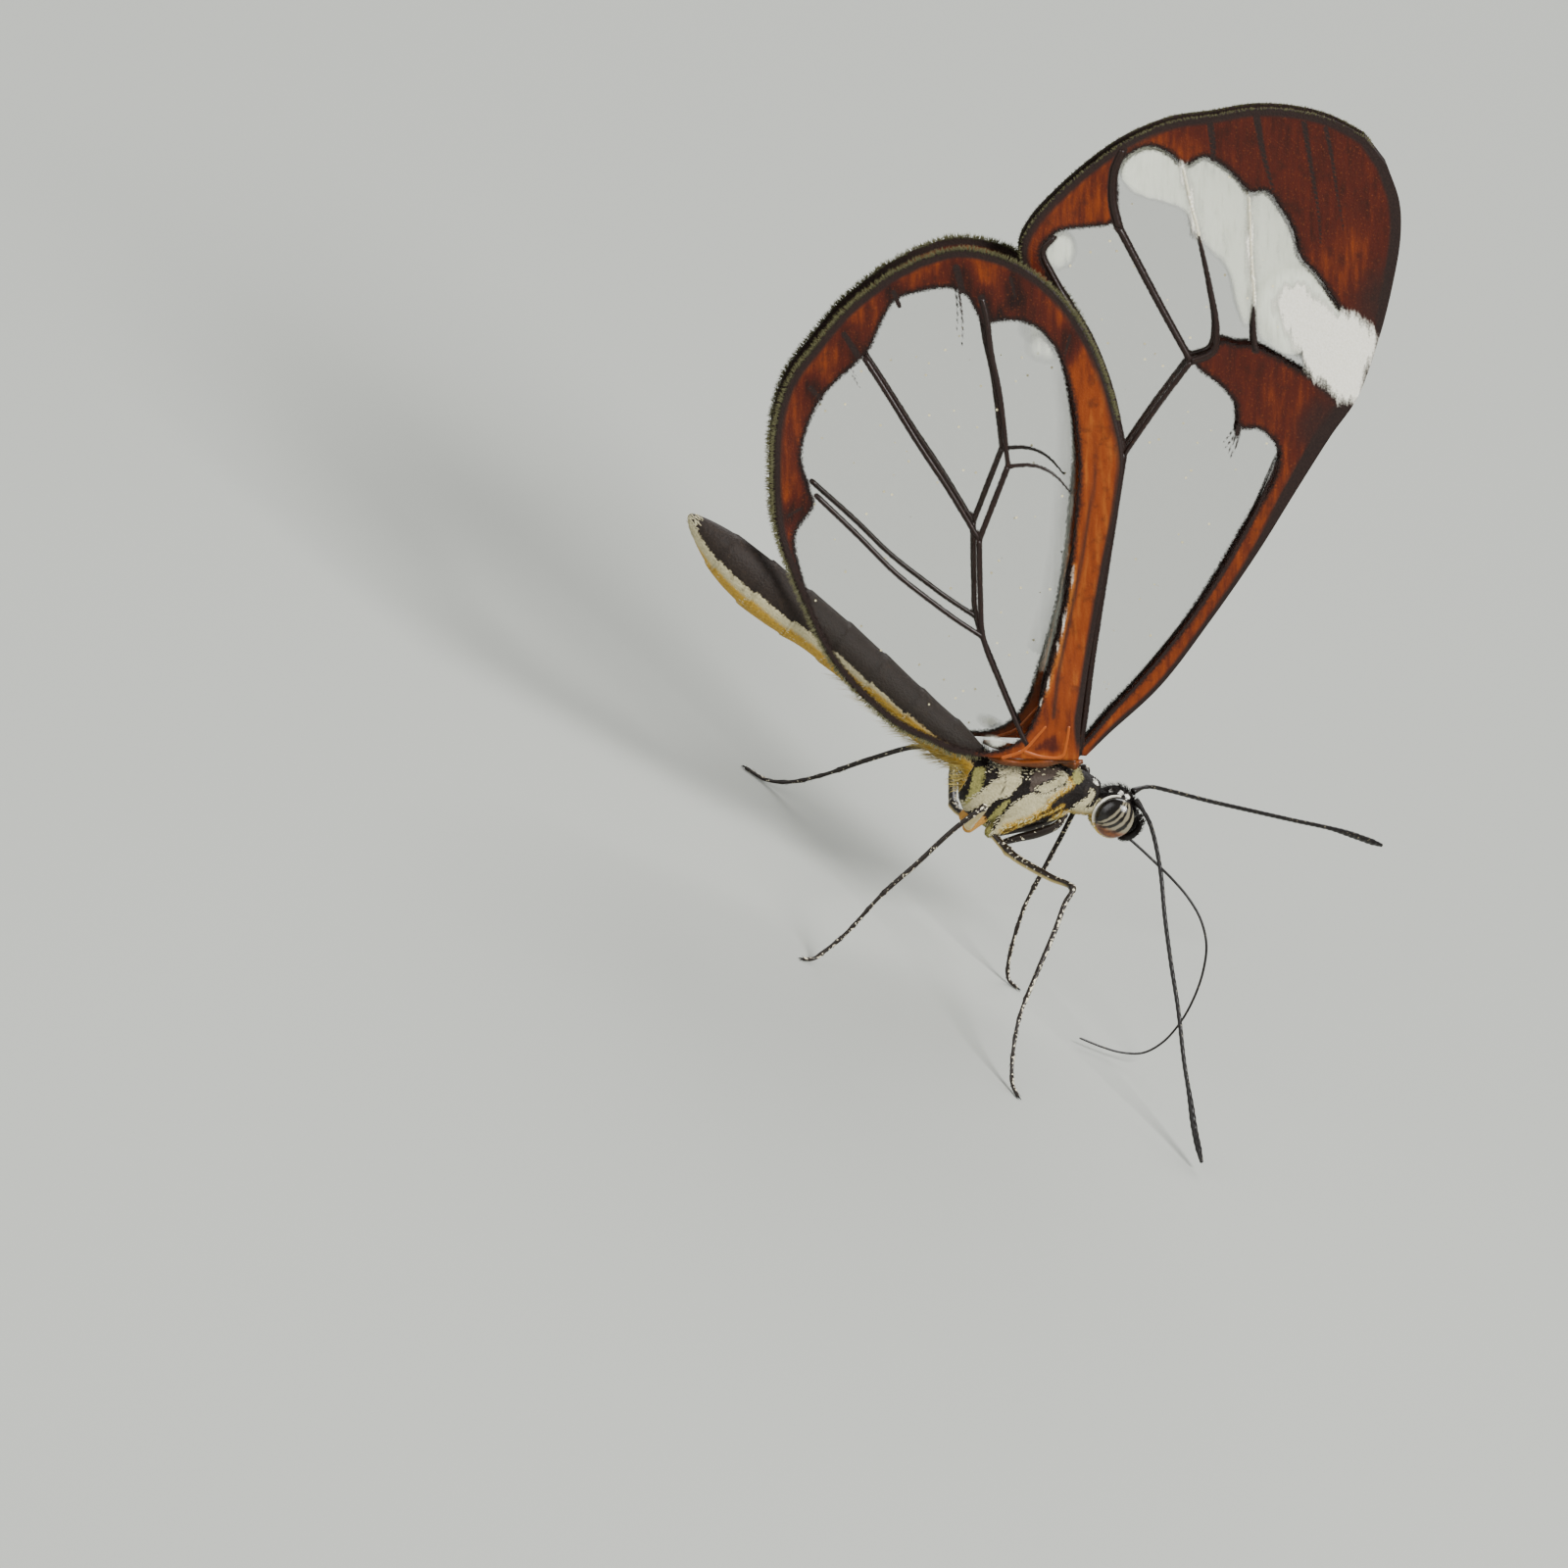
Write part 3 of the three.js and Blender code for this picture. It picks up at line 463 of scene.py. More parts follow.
# The clear window of each wing: everything outside it is covered with rust scales
FORE_WINDOW = [(2.9, 11.8), (3.25, 13.3), (3.8, 15.25), (4.4, 18.2), (4.65, 21.1), (4.7, 23.0),
               (4.77, 24.7), (4.75, 26.4), (4.3, 27.45), (3.16, 27.88), (2.32, 27.55), (1.63, 28.43),
               (0.65, 28.9), (-0.67, 29.2), (-1.0, 29.5), (-0.45, 30.1), (-0.3, 30.74), (0.4, 30.9),
               (1.16, 31.19), (3.03, 31.14), (4.16, 31.01), (5.2, 30.8), (6.06, 30.65), (6.22, 31.3),
               (6.1, 32.3), (5.85, 33.6), (5.4, 33.98), (4.2, 34.2), (3.5, 34.5), (2.21, 35.22),
               (1.02, 35.73), (0.36, 36.49), (-0.68, 37.21), (-1.74, 37.68), (-2.36, 37.3),
               (-2.99, 37.58), (-4.06, 37.87), (-4.97, 37.84), (-5.48, 37.1), (-6.29, 37.33),
               (-7.3, 37.25), (-8.02, 36.35), (-8.05, 35.66), (-7.5, 34.61), (-7.1, 33.5),
               (-8.09, 32.72), (-9.1, 32.0), (-9.39, 30.94), (-8.51, 30.01), (-6.93, 29.01),
               (-5.51, 28.07), (-3.76, 26.49), (-1.98, 24.37), (-0.8, 21.4), (0.45, 17.6),
               (1.7, 14.2), (2.7, 11.7)]
HIND_WINDOW = [(-11.1, 12.22), (-12.25, 13.4), (-13.0, 14.3), (-13.25, 14.9), (-13.13, 16.4),
               (-13.7, 16.95), (-14.61, 18.04), (-14.99, 19.57), (-14.99, 20.92), (-14.42, 22.79),
               (-14.2, 23.5), (-14.19, 26.1), (-13.32, 27.07), (-12.26, 27.77), (-11.44, 27.75),
               (-10.2, 26.95), (-10.0, 27.21), (-9.14, 27.75), (-8.01, 27.87), (-6.54, 27.11),
               (-4.99, 25.41), (-3.52, 23.18), (-2.43, 20.77), (-0.97, 16.96), (-0.15, 13.6),
               (0.15, 12.0), (0.1, 11.1), (-0.25, 10.35), (-1.0, 9.72), (-2.2, 9.35), (-3.47, 9.28),
               (-5.0, 9.26), (-6.5, 9.6), (-8.3, 10.28), (-9.75, 11.12)]

# The white band: three half-clear lobes and one opaque chalky patch at the leading edge
LOBE_OUTER = [(-7.78, 35.52), (-7.96, 36.25), (-7.24, 37.14), (-6.26, 37.28), (-5.53, 36.95),
              (-4.64, 35.96), (-3.59, 34.84), (-4.63, 35.3), (-5.71, 35.24), (-6.43, 35.09),
              (-7.13, 35.16)]
LOBE_MIDDLE = [(-5.45, 36.94), (-4.9, 37.75), (-3.9, 37.85), (-2.72, 37.6), (-2.23, 37.14),
               (-1.6, 35.81), (-0.81, 34.57), (0.14, 33.13), (0.4, 31.8), (-0.48, 32.56),
               (-1.48, 33.7), (-2.5, 34.15), (-3.31, 34.5), (-4.53, 35.74)]
LOBE_INNER = [(-2.17, 37.16), (-1.71, 37.7), (-0.62, 37.15), (0.47, 36.35), (1.08, 35.6),
              (2.44, 34.9), (3.95, 34.2), (2.75, 31.68), (1.2, 31.6), (0.3, 33.0), (-0.81, 34.57)]
CHALK_PATCH = [(0.75, 33.2), (0.9, 34.3), (1.5, 34.75), (2.6, 34.45), (3.64, 34.05), (4.19, 34.2),
               (5.5, 33.97), (5.85, 33.6), (6.15, 32.3), (6.05, 30.75), (5.18, 30.83),
               (3.72, 31.34), (2.64, 31.9), (1.66, 32.5)]

ROOT_CELL = [(0.76, 10.68), (1.13, 11.57), (1.34, 11.78), (1.99, 11.13), (1.4, 10.8)]

# Veins as (path, half width at root, half width at tip)
FORE_VEINS = [
    ([(3.0, 10.9), (2.5, 12.4), (1.5, 15.0), (0.58, 17.57), (-0.7, 21.2), (-1.8, 24.3)], 0.16, 0.2),
    ([(-1.8, 24.3), (-3.6, 26.5), (-5.35, 28.1), (-6.9, 29.1), (-8.4, 30.1), (-9.3, 30.9),
      (-9.15, 31.7)], 0.2, 0.12),
    ([(-1.71, 24.23), (-1.42, 26.81), (-1.04, 29.3)], 0.11, 0.11),
    ([(-1.04, 29.3), (-3.36, 30.9), (-6.8, 33.35)], 0.13, 0.15),
    ([(-6.8, 33.35), (-7.6, 34.3), (-8.2, 35.6), (-8.3, 36.6)], 0.2, 0.2),
    ([(-1.04, 29.3), (-0.38, 30.1), (-0.7, 31.09), (-1.87, 32.69), (-3.48, 34.63)], 0.16, 0.06),
    ([(1.3, 31.0), (0.9, 31.6), (0.25, 32.8)], 0.14, 0.05),
    ([(-5.55, 39.55), (-4.75, 38.4), (-4.5, 37.9)], 0.15, 0.09),
    ([(-3.85, 40.7), (-2.6, 39.1), (-1.5, 37.9)], 0.15, 0.05),
    ([(-1.7, 41.2), (-0.5, 39.6), (0.7, 38.0), (1.6, 36.6)], 0.1, 0.02),
    ([(-0.72, 41.4), (0.1, 40.4), (1.2, 38.9), (2.2, 37.6)], 0.08, 0.01),
    ([(2.2, 27.6), (2.3, 27.2), (2.2, 26.5)], 0.05, 0.015),
    ([(2.35, 27.6), (2.55, 27.0), (2.6, 26.1)], 0.05, 0.01),
    ([(4.6, 26.9), (4.85, 23.2), (4.7, 20.0), (4.1, 16.4), (3.3, 13.0), (2.95, 11.4)], 0.06, 0.04),
]
HIND_VEINS = [
    ([(0.45, 10.75), (0.1, 11.0), (-1.9, 12.7), (-3.63, 14.3), (-4.6, 15.9), (-5.84, 18.15)], 0.09, 0.12),
    ([(-5.84, 18.15), (-6.28, 21.7)], 0.12, 0.12),
    ([(-6.28, 21.7), (-7.2, 23.1), (-8.3, 24.66), (-9.4, 26.0), (-10.3, 27.3), (-10.9, 28.0)], 0.09, 0.14),
    ([(-6.28, 21.7), (-5.5, 22.15), (-4.94, 22.3), (-4.2, 22.25), (-3.2, 21.85)], 0.09, 0.03),
    ([(-5.84, 18.15), (-8.2, 19.65), (-10.3, 20.87), (-12.3, 22.1), (-14.14, 23.2)], 0.11, 0.12),
    ([(-3.63, 14.3), (-5.09, 14.5), (-6.15, 14.7), (-8.4, 15.2), (-10.58, 15.94), (-13.2, 16.75)],
     0.1, 0.11),
    ([(-15.7, 20.95), (-15.0, 20.7)], 0.09, 0.08),
    ([(-15.5, 23.8), (-14.5, 23.2)], 0.1, 0.12),
    ([(-14.43, 26.45), (-13.9, 26.0)], 0.09, 0.08),
    ([(-12.5, 28.7), (-11.8, 27.9)], 0.13, 0.12),
    ([(-10.2, 29.4), (-9.6, 28.7)], 0.05, 0.03),
    ([(-6.6, 28.2), (-6.4, 27.3)], 0.05, 0.03),
    ([(-13.9, 15.4), (-13.5, 16.0)], 0.05, 0.04),
    ([(-11.9, 27.8), (-11.1, 26.6), (-10.6, 25.6)], 0.04, 0.008),
    ([(-14.3, 22.3), (-13.7, 21.9)], 0.03, 0.005),
]
# Orange veins that frame the brown cell at the hindwing's root
ROOT_VEINS = [
    ([(-0.3, 9.7), (0.4, 10.46), (0.63, 11.22), (0.8, 11.9)], 0.12, 0.08),
    ([(0.42, 10.42), (1.38, 10.58), (2.08, 10.96), (1.98, 11.56), (1.72, 12.35)], 0.13, 0.09),
]
# Cream-scaled stretches of vein that cross the white band
PALE_VEINS = [
    ([(-3.4, 34.55), (-4.64, 35.96), (-5.55, 37.05)], 0.1, 0.09),
    ([(0.25, 32.9), (-1.04, 35.0), (-2.28, 37.15)], 0.1, 0.07),
]


# How the closed wings stand apart, in mm from the middle plane
def hindwing_slab(x, z):
    """How far the hindwing solid's inner face stands out from the middle plane."""
    along_rear = smooth(0, 1, (-8.5 - x) / 6.5)
    above_body = smooth(13.5, 18, z - 0.1 * x)
    beside_body = 0.2 * (1 - smooth(12.5, 16.5, z + 0.25 * x))
    return 1.08 + beside_body - 0.5 * along_rear * above_body


def pleats(points, veins):
    """The film dips a little between its veins."""
    lines = [spline(path, 40) for path, _, _ in veins]
    near = np.min([line_distance(points, line)[0] for line in lines], axis=0)
    return 0.05 * smooth(0, 1.6, near)


# How far the forewing's film lies from the middle plane, and the hindwing's from its solid's inner face
FOREWING_OUT = 0.42
HINDWING_IN_SOLID = 0.24


def forewing_depth(points):
    return FOREWING_OUT - pleats(points, FORE_VEINS[:7])


def hindwing_depth(points):
    slab = hindwing_slab(points[:, 0], points[:, 1])
    return slab + HINDWING_IN_SOLID - pleats(points, HIND_VEINS[:6])


def vein_field(points, veins):
    """Distance to the nearest vein's side, negative inside a vein."""
    best = np.full(len(points), 9.0)
    for path, root, tip in veins:
        gap, along = line_distance(points, spline(path, 60))
        best = np.minimum(best, gap - (root + (tip - root) * along))
    return best


def soft_spot(x, z, centre, reach, outer, inner):
    """An oval patch: one at its inner edge and nothing at its outer one, both as shares of its reach."""
    return smooth(outer, inner, np.hypot((x - centre[0]) / reach[0], (z - centre[1]) / reach[1]))


def forewing_values(points, outline):
    """What each point of the forewing's film carries, mostly as distances in mm, positive inside."""
    edge = region_distance(points, outline)
    window = region_distance(points, spline(FORE_WINDOW, 500, True))
    chalk = region_distance(points, spline(CHALK_PATCH, 200, True))
    x, z = points[:, 0], points[:, 1]
    rust = np.minimum(-window, 3.0)
    rust = np.where(chalk > -0.3, np.minimum(rust, -chalk), rust)
    outer = region_distance(points, spline(LOBE_OUTER, 160, True))
    middle = region_distance(points, spline(LOBE_MIDDLE, 160, True))
    inner = region_distance(points, spline(LOBE_INNER, 160, True))
    veil = (0.5 + 0.25 * smooth(-4.5, -7.5, x)) * smooth(-0.15, 0.2, outer)
    veil = np.maximum(veil, 0.42 * smooth(-0.2, 0.2, middle))
    veil = np.maximum(veil, 0.4 * smooth(-0.2, 0.2, inner))
    veil = np.maximum(veil, 0.85 * smooth(-1.1, 0.0, chalk) * smooth(-0.3, 0.1, inner))
    veil = np.maximum(veil, 0.4 * soft_spot(x, z, (-8.7, 31.2), (0.9, 0.95), 1.15, 0.55) * (window > 0))
    # the outer black line is wide along the tip and thin along the white patch
    black_width = 0.36 + 0.14 * smooth(0.0, 3.0, x) * smooth(34.2, 35.5, z)
    costal_side = smooth(2.0, 3.0, x)
    black_width += costal_side * 0.32 * smooth(22.0, 28.5, z) * smooth(31.6, 30.6, z)
    black_width -= costal_side * 0.3 * smooth(31.0, 31.6, z) * smooth(34.4, 33.8, z)
    black_width -= 0.14 * costal_side * smooth(25.0, 20.0, z) + 0.1 * smooth(13.5, 11.0, z)
    black = smooth(0.1, -0.08, edge - black_width) * smooth(10.9, 11.9, z)
    # black spreads inward beside the chalky patch, above and below it
    corner = soft_spot(x, z, (5.2, 35.6), (1.0, 1.7), 1.7, 0.2)
    corner = np.maximum(corner, 0.9 * soft_spot(x, z, (5.4, 29.3), (0.9, 1.3), 1.5, 0.4))
    black = np.maximum(black, 0.8 * corner * (rust > 0))
    black = np.maximum(black, smooth(0.35, 0.0, np.abs(chalk + 0.2)) * 0.7 * (rust > -0.2) * (x > 4.2))
    tone = 0.36 + 0.22 * smooth(-2.0, -6.5, x) * smooth(38.8, 37.0, z) * smooth(26.0, 29.0, z)
    costal = smooth(28.6, 26.5, z) * smooth(2.0, 2.8, x)
    tone += (0.26 + 0.16 * smooth(20.0, 12.0, z)) * costal
    tone += 0.2 * soft_spot(x, z, (2.8, 36.3), (1.3, 1.8), 1.6, 0.3)
    tone += 0.1 * soft_spot(x, z, (-6.5, 38.0), (2.0, 1.2), 1.6, 0.3)
    tone += 0.1 * soft_spot(x, z, (3.6, 29.2), (1.2, 1.6), 2.2, 0.5)
    vein = vein_field(points, FORE_VEINS)
    pale = vein_field(points, PALE_VEINS)
    # the chalky scales thin out inward
    chalk = np.maximum(chalk - 0.32 * smooth(4.2, 1.0, x), -pale - 0.04)
    return {"edge": edge, "rust": rust, "vein": vein, "chalk": chalk, "veil": veil,
            "black": np.clip(black, 0, 1), "tone": tone}


def hindwing_values(points, outline):
    """What each point of the hindwing's film carries, as on the forewing."""
    edge = region_distance(points, outline)
    window = region_distance(points, spline(HIND_WINDOW, 500, True))
    x, z = points[:, 0], points[:, 1]
    rust = np.minimum(-window, 3.0)
    vein = vein_field(points, HIND_VEINS)
    costal = smooth(-7.0, -4.0, x) * smooth(12.0, 14.0, z)
    black_width = 0.36 - 0.08 * costal - 0.25 * smooth(13.0, 11.0, z) * (x > -1.5)
    black = smooth(0.1, -0.08, edge - black_width) * (1 - smooth(-1.4, -0.4, x) * smooth(12.0, 10.9, z))
    # the leading band carries a dark line between two orange stripes
    stripe, along = line_distance(points, spline([(-5.6, 26.6), (-4.0, 25.2), (-2.75, 23.3),
                                                  (-1.95, 21.1), (-1.2, 18.9), (-0.5, 16.6),
                                                  (0.2, 14.2), (0.9, 12.4)], 60))
    black = np.maximum(black, 0.75 * smooth(0.16, 0.02, stripe) * smooth(0.1, 0.45, along))
    tone = 0.62 + 0.22 * costal - 0.22 * smooth(1.6, 0.4, np.abs(x + 9.2)) * (z > 26)
    tone -= 0.12 * smooth(1.2, 0.2, -window - 0.1) * (1 - costal)
    tone -= 0.3 * smooth(0.8, 0.1, np.abs(vein)) * (x < -3)
    tone += 0.28 * smooth(13.5, 11.0, z) * (x > -1.5)
    # at the root a brown cell lies between bright orange veins
    cell = region_distance(points, spline(ROOT_CELL, 60, True))
    tone -= 0.42 * smooth(-0.1, 0.25, cell)
    veil = 0.34 * soft_spot(x, z, (-7.4, 27.2), (1.0, 0.8), 1.2, 0.2) * (window > 0)
    veil = np.maximum(veil, 0.2 * smooth(1.2, 0.0, window) * smooth(-9.0, -3.0, x) * (z > 14))
    # fine pale fur at the root, and a cream line beside the leading band
    veil = np.maximum(veil, 0.55 * soft_spot(x, z, (-0.7, 10.25), (1.0, 0.45), 1.0, 0.1))
    cream_line = spline([(0.1, 12.6), (-0.05, 13.7), (-0.8, 16.9), (-1.5, 18.9)], 60)
    beside, _ = line_distance(points, cream_line)
    tone += 0.35 * smooth(0.3, 0.0, beside)
    chalk = -0.27 - 1.5 * beside
    return {"edge": edge, "rust": rust, "vein": vein, "chalk": chalk, "veil": veil * (window > 0),
            "black": np.clip(black, 0, 1), "tone": tone}


FILM_THICKNESS = 0.03
SPAN_STEPS = 210
CHORD_STEPS = 105


def wing_film(name, lead, trail, depth_at, values_at, side):
    """The closed film between a wing's leading and trailing edges, with its markings."""
    front = spline(lead, SPAN_STEPS + 1)
    back = spline(trail, SPAN_STEPS + 1)
    t = np.linspace(0, 1, CHORD_STEPS + 1)[None, :, None]
    flat = (front[:, None] * (1 - t) + back[:, None] * t).reshape(-1, 2)
    outline = np.vstack([front, back[::-1]])
    values = values_at(flat, outline)
    depth = depth_at(flat)
    inner = np.column_stack([flat[:, 0], side * depth, flat[:, 1]])
    outer = np.column_stack([flat[:, 0], side * (depth + FILM_THICKNESS), flat[:, 1]])
    far = len(flat)
    columns = CHORD_STEPS + 1
    i = np.arange(SPAN_STEPS)[:, None] * columns + np.arange(CHORD_STEPS)[None]
    a = i.ravel()
    quads = np.column_stack([a, a + 1, a + columns + 1, a + columns])
    if side > 0:
        quads = quads[:, ::-1]
    faces = [tuple(q) for q in quads[:, ::-1] + far]
    faces += [tuple(q) for q in quads]
    rim = list(range(0, CHORD_STEPS))
    rim += [r * columns + CHORD_STEPS for r in range(SPAN_STEPS)]
    rim += [SPAN_STEPS * columns + c for c in range(CHORD_STEPS, 0, -1)]
    rim += [r * columns for r in range(SPAN_STEPS, 0, -1)]
    for k, p in enumerate(rim):
        q = rim[(k + 1) % len(rim)]
        wall = (q, p, p + far, q + far)
        faces.append(wall if side < 0 else wall[::-1])
    vertices = placed(np.vstack([inner, outer]))
    values = {key: np.concatenate([v, v]) for key, v in values.items()}
    piece = new_piece(name + "_film", vertices, faces, FILM, values)
    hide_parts(name)
    return outline


def vein_tubes(name, veins, depth_at, side, material, under=0.0):
    """Raised veins along their lines on the film."""
    parts = []
    for path, root, tip in veins:
        line = spline(path, max(6, int(14 * len(path))))
        depth = depth_at(line) + FILM_THICKNESS / 2
        centre = np.column_stack([line[:, 0], side * depth, line[:, 1]])
        u = np.linspace(0, 1, len(line))
        radius = (root + (tip - root) * u) * 0.8
        radius[0] *= 0.3
        radius[-1] *= 0.3
        parts.append(tube(centre, radius, 8))
    vertices, faces = joined(parts)
    # a vein is wider than it is thick
    flat = vertices.copy()
    middle = depth_at(flat[:, [0, 2]]) + FILM_THICKNESS / 2
    flat[:, 1] = side * middle + (flat[:, 1] - side * middle) * 0.6
    values = {"under": np.full(len(flat), under), "speck": np.zeros(len(flat))}
    new_piece(name, placed(flat), faces, material, values)


def blades(roots, directions, lengths, widths, normals):
    """Small four-sided spikes, each a flat scale or hair from its root toward its direction."""
    d = unit(directions)
    across = unit(np.cross(d, normals))
    thick = np.cross(across, d)
    w = (widths / 2)[:, None]
    t = (widths / 5)[:, None]
    tip = roots + d * lengths[:, None]
    mid = roots + d * (lengths * 0.55)[:, None]
    corners = [roots - across * w * 0.5, roots + across * w * 0.5, roots + thick * t,
               mid - across * w, mid + across * w, mid + thick * t, tip]
    vertices = np.stack(corners, axis=1).reshape(-1, 3)
    # corners 0 to 2 are the root, 3 to 5 the widest place and 6 the tip; a triangle repeats its last
    shape = np.array([[0, 2, 1, 1], [0, 1, 4, 3], [1, 2, 5, 4], [2, 0, 3, 5],
                      [3, 4, 6, 6], [4, 5, 6, 6], [5, 3, 6, 6]])
    faces = []
    for n in range(len(roots)):
        for q in shape:
            corner = tuple(int(i) + 7 * n for i in q)
            faces.append(corner[2::-1] if q[2] == q[3] else corner[::-1])
    shade = np.tile([0, 0, 0, 0.5, 0.5, 0.5, 1.0], len(roots))
    return vertices, faces, shade


def coat_piece(name, roots, directions, lengths, widths, normals, uv, material, leans=True):
    """A coat of small blades as one mesh, with each blade's patch on the skin's unwrap."""
    # a blade that would pass the CAD model's box, such as one under a foot, is left out
    ends = placed(roots + unit(directions) * (lengths + BOX_MARGIN)[:, None], leans)
    kept = ((ends > BOX_LOW) & (ends < BOX_HIGH)).all(axis=1)
    roots, directions, normals, uv = roots[kept], directions[kept], normals[kept], uv[kept]
    lengths, widths = lengths[kept], widths[kept]
    vertices, faces, shade = blades(roots, directions, lengths, widths, normals)
    piece = new_piece(name, placed(vertices, leans), faces, material, {"tip": shade}, False)
    layer = piece.data.uv_layers.new(name="OFBake")
    corner = np.array([[0, 0], [1, 0], [0.5, 0.5], [0, 0.6], [1, 0.6], [0.5, 0.8], [0.5, 1]]) * TUFT_PATCH
    spots = (uv[:, None] + corner[None]).reshape(-1, 2)
    loops = np.zeros(len(piece.data.loops), np.int32)
    piece.data.loops.foreach_get("vertex_index", loops)
    layer.data.foreach_set("uv", spots[loops].astype(np.float32).ravel())


def wing_fringe(name, outline, depth_at, side, start, end, count, reach, material):
    """Short scales that stand out past the wing's margin."""
    rng = np.random.default_rng(11 if side < 0 else 12)
    loop = np.vstack([outline, outline[:1]])
    run = distance_along(loop)
    at = np.sort(rng.uniform(start, end, count)) * run[-1]
    here = np.column_stack([np.interp(at, run, loop[:, k]) for k in range(2)])
    ahead = np.column_stack([np.interp(at + 0.05, run, loop[:, k]) for k in range(2)])
    along = unit(ahead - here)
    out = np.column_stack([along[:, 1], -along[:, 0]])
    centre = outline.mean(axis=0)
    out = np.where(((here - centre) * out).sum(axis=1)[:, None] > 0, out, -out)
    here = here - out * 0.1
    depth = depth_at(here) + rng.uniform(-0.02, 0.05, count)
    roots = np.column_stack([here[:, 0], side * depth, here[:, 1]])
    lean = rng.normal(0, 0.35, (count, 1))
    heading = out + along * lean
    directions = np.column_stack([heading[:, 0], rng.normal(0, 0.25, count), heading[:, 1]])
    lengths = reach * rng.uniform(0.6, 1.2, count)
    widths = rng.uniform(0.018, 0.036, count)
    normals = np.tile([0.0, 1.0, 0.0], (count, 1))
    uv = np.column_stack([at / run[-1] * 0.98, np.full(count, 0.25 + 0.5 * (side > 0))])
    coat_piece(name, roots, directions, lengths, widths, normals, uv, material)


HIND_BASE = [(-0.75, 9.42), (-0.1, 9.55), (0.7, 9.82), (1.5, 10.28), (2.2, 10.68), (2.85, 10.95)]
FORE_BASE = [(2.3, 10.62), (2.75, 10.62), (3.25, 10.95)]


def wing_base(name, path, out, thick, side):
    """The hard orange plates by which a wing is hinged to the thorax."""
    line = spline(path, 30)
    centre = np.column_stack([line[:, 0], np.full(30, side * out), line[:, 1]])
    swell = 1 + 0.25 * np.sin(np.linspace(0, 4 * math.pi, 30))
    radius = thick * swell * np.sin(np.linspace(0.35, math.pi - 0.35, 30))
    vertices, faces = tube(centre, radius, 12)
    values = {"under": smooth(0.0, 0.6, (vertices[:, 2] - centre[:, 2].repeat(12)) / thick),
              "speck": np.zeros(len(vertices))}
    new_piece(name + "_base", placed(vertices), faces, HINGE, values)


def make_wings():
    """Both pairs of wings, each with its film, veins and fringe, and its hinge on the thorax."""
    for side, word in ((-1, "right"), (1, "left")):
        wing_base("hindwing_" + word, HIND_BASE, 1.12, 0.24, side)
        wing_base("forewing_" + word, FORE_BASE, 0.62, 0.26, side)
        fore = "forewing_" + word
        hind = "hindwing_" + word
        outline = wing_film(fore, FORE_LEAD, FORE_TRAIL, forewing_depth, forewing_values, side)
        vein_tubes(fore + "_veins", FORE_VEINS[:7], forewing_depth, side, VEIN_DARK)
        vein_tubes(fore + "_pale_veins", PALE_VEINS, forewing_depth, side, VEIN_PALE)
        wing_fringe(fore + "_fringe", outline, forewing_depth, side, 0.42, 0.78, 1600, 0.17,
                    TUFT_OLIVE)
        outline = wing_film(hind, HIND_LEAD, HIND_TRAIL, hindwing_depth, hindwing_values, side)
        vein_tubes(hind + "_veins", HIND_VEINS[:6], hindwing_depth, side, VEIN_DARK)
        vein_tubes(hind + "_root_veins", ROOT_VEINS, hindwing_depth, side, HINGE, 1.0)
        wing_fringe(hind + "_fringe", outline, hindwing_depth, side, 0.25, 0.93, 3600, 0.32,
                    TUFT_OLIVE)


# Body: abdomen, thorax, neck and head under one skin

def thorax_point(along, side, up):
    """A place in the thorax's own pitched frame."""
    c = math.cos(THORAX_PITCH)
    s = math.sin(THORAX_PITCH)
    return (along * c - up * s, side, along * s + up * c)


# Stations of the abdomen: x, z and half height
ABDOMEN = [(-0.6, 8.6, 0.7), (-1.3, 8.85, 0.78), (-2.4, 9.1, 0.96), (-4.1, 9.5, 1.04), (-6.2, 10.1, 1.08),
           (-8.2, 10.65, 1.12), (-10.2, 11.15, 1.16), (-12.2, 11.5, 1.26), (-14.2, 12.0, 1.2),
           (-15.9, 12.6, 0.88), (-17.1, 13.05, 0.42), (-17.55, 13.22, 0.16)]
RINGS = 8
# Stations of the thorax: along and up in its own pitched frame, half width and half height
THORAX = [(2.45, 6.9, 0.4, 0.45), (2.7, 6.9, 0.78, 0.9), (3.3, 6.85, 1.08, 1.2), (4.3, 6.8, 1.26, 1.35),
          (5.6, 6.75, 1.26, 1.36), (6.7, 6.8, 1.15, 1.25), (7.4, 6.8, 0.95, 1.0), (7.95, 6.6, 0.9, 0.92),
          (8.5, 6.4, 0.72, 0.75)]


def loft(path, wide, high, sides, power=2.0):
    """A closed skin round a line in the middle plane."""
    tangent = unit(np.gradient(path, axis=0))
    up = np.column_stack([-tangent[:, 2], np.zeros(len(path)), tangent[:, 0]])
    up = np.where(up[:, 2:3] < 0, -up, up)
    angle = np.linspace(0, 2 * math.pi, sides, endpoint=False)
    c = np.sign(np.cos(angle)) * np.abs(np.cos(angle)) ** (2 / power)
    s = np.sign(np.sin(angle)) * np.abs(np.sin(angle)) ** (2 / power)
    across = np.array([0.0, 1.0, 0.0])
    v = path[:, None] + c[None, :, None] * wide[:, None, None] * across
    v = v + s[None, :, None] * high[:, None, None] * up[:, None]
    return v.reshape(-1, 3), ring_faces(len(path), sides)


def taken():
    """The active primitive's vertices and faces, with its place applied, after which it is removed."""
    piece = bpy.context.active_object
    bpy.ops.object.transform_apply(location=True, rotation=True, scale=True)
    mesh = piece.data
    points = np.zeros(len(mesh.vertices) * 3)
    mesh.vertices.foreach_get("co", points)
    faces = [tuple(p.vertices) for p in mesh.polygons]
    bpy.data.objects.remove(piece)
    bpy.data.meshes.remove(mesh)
    return points.reshape(-1, 3), faces


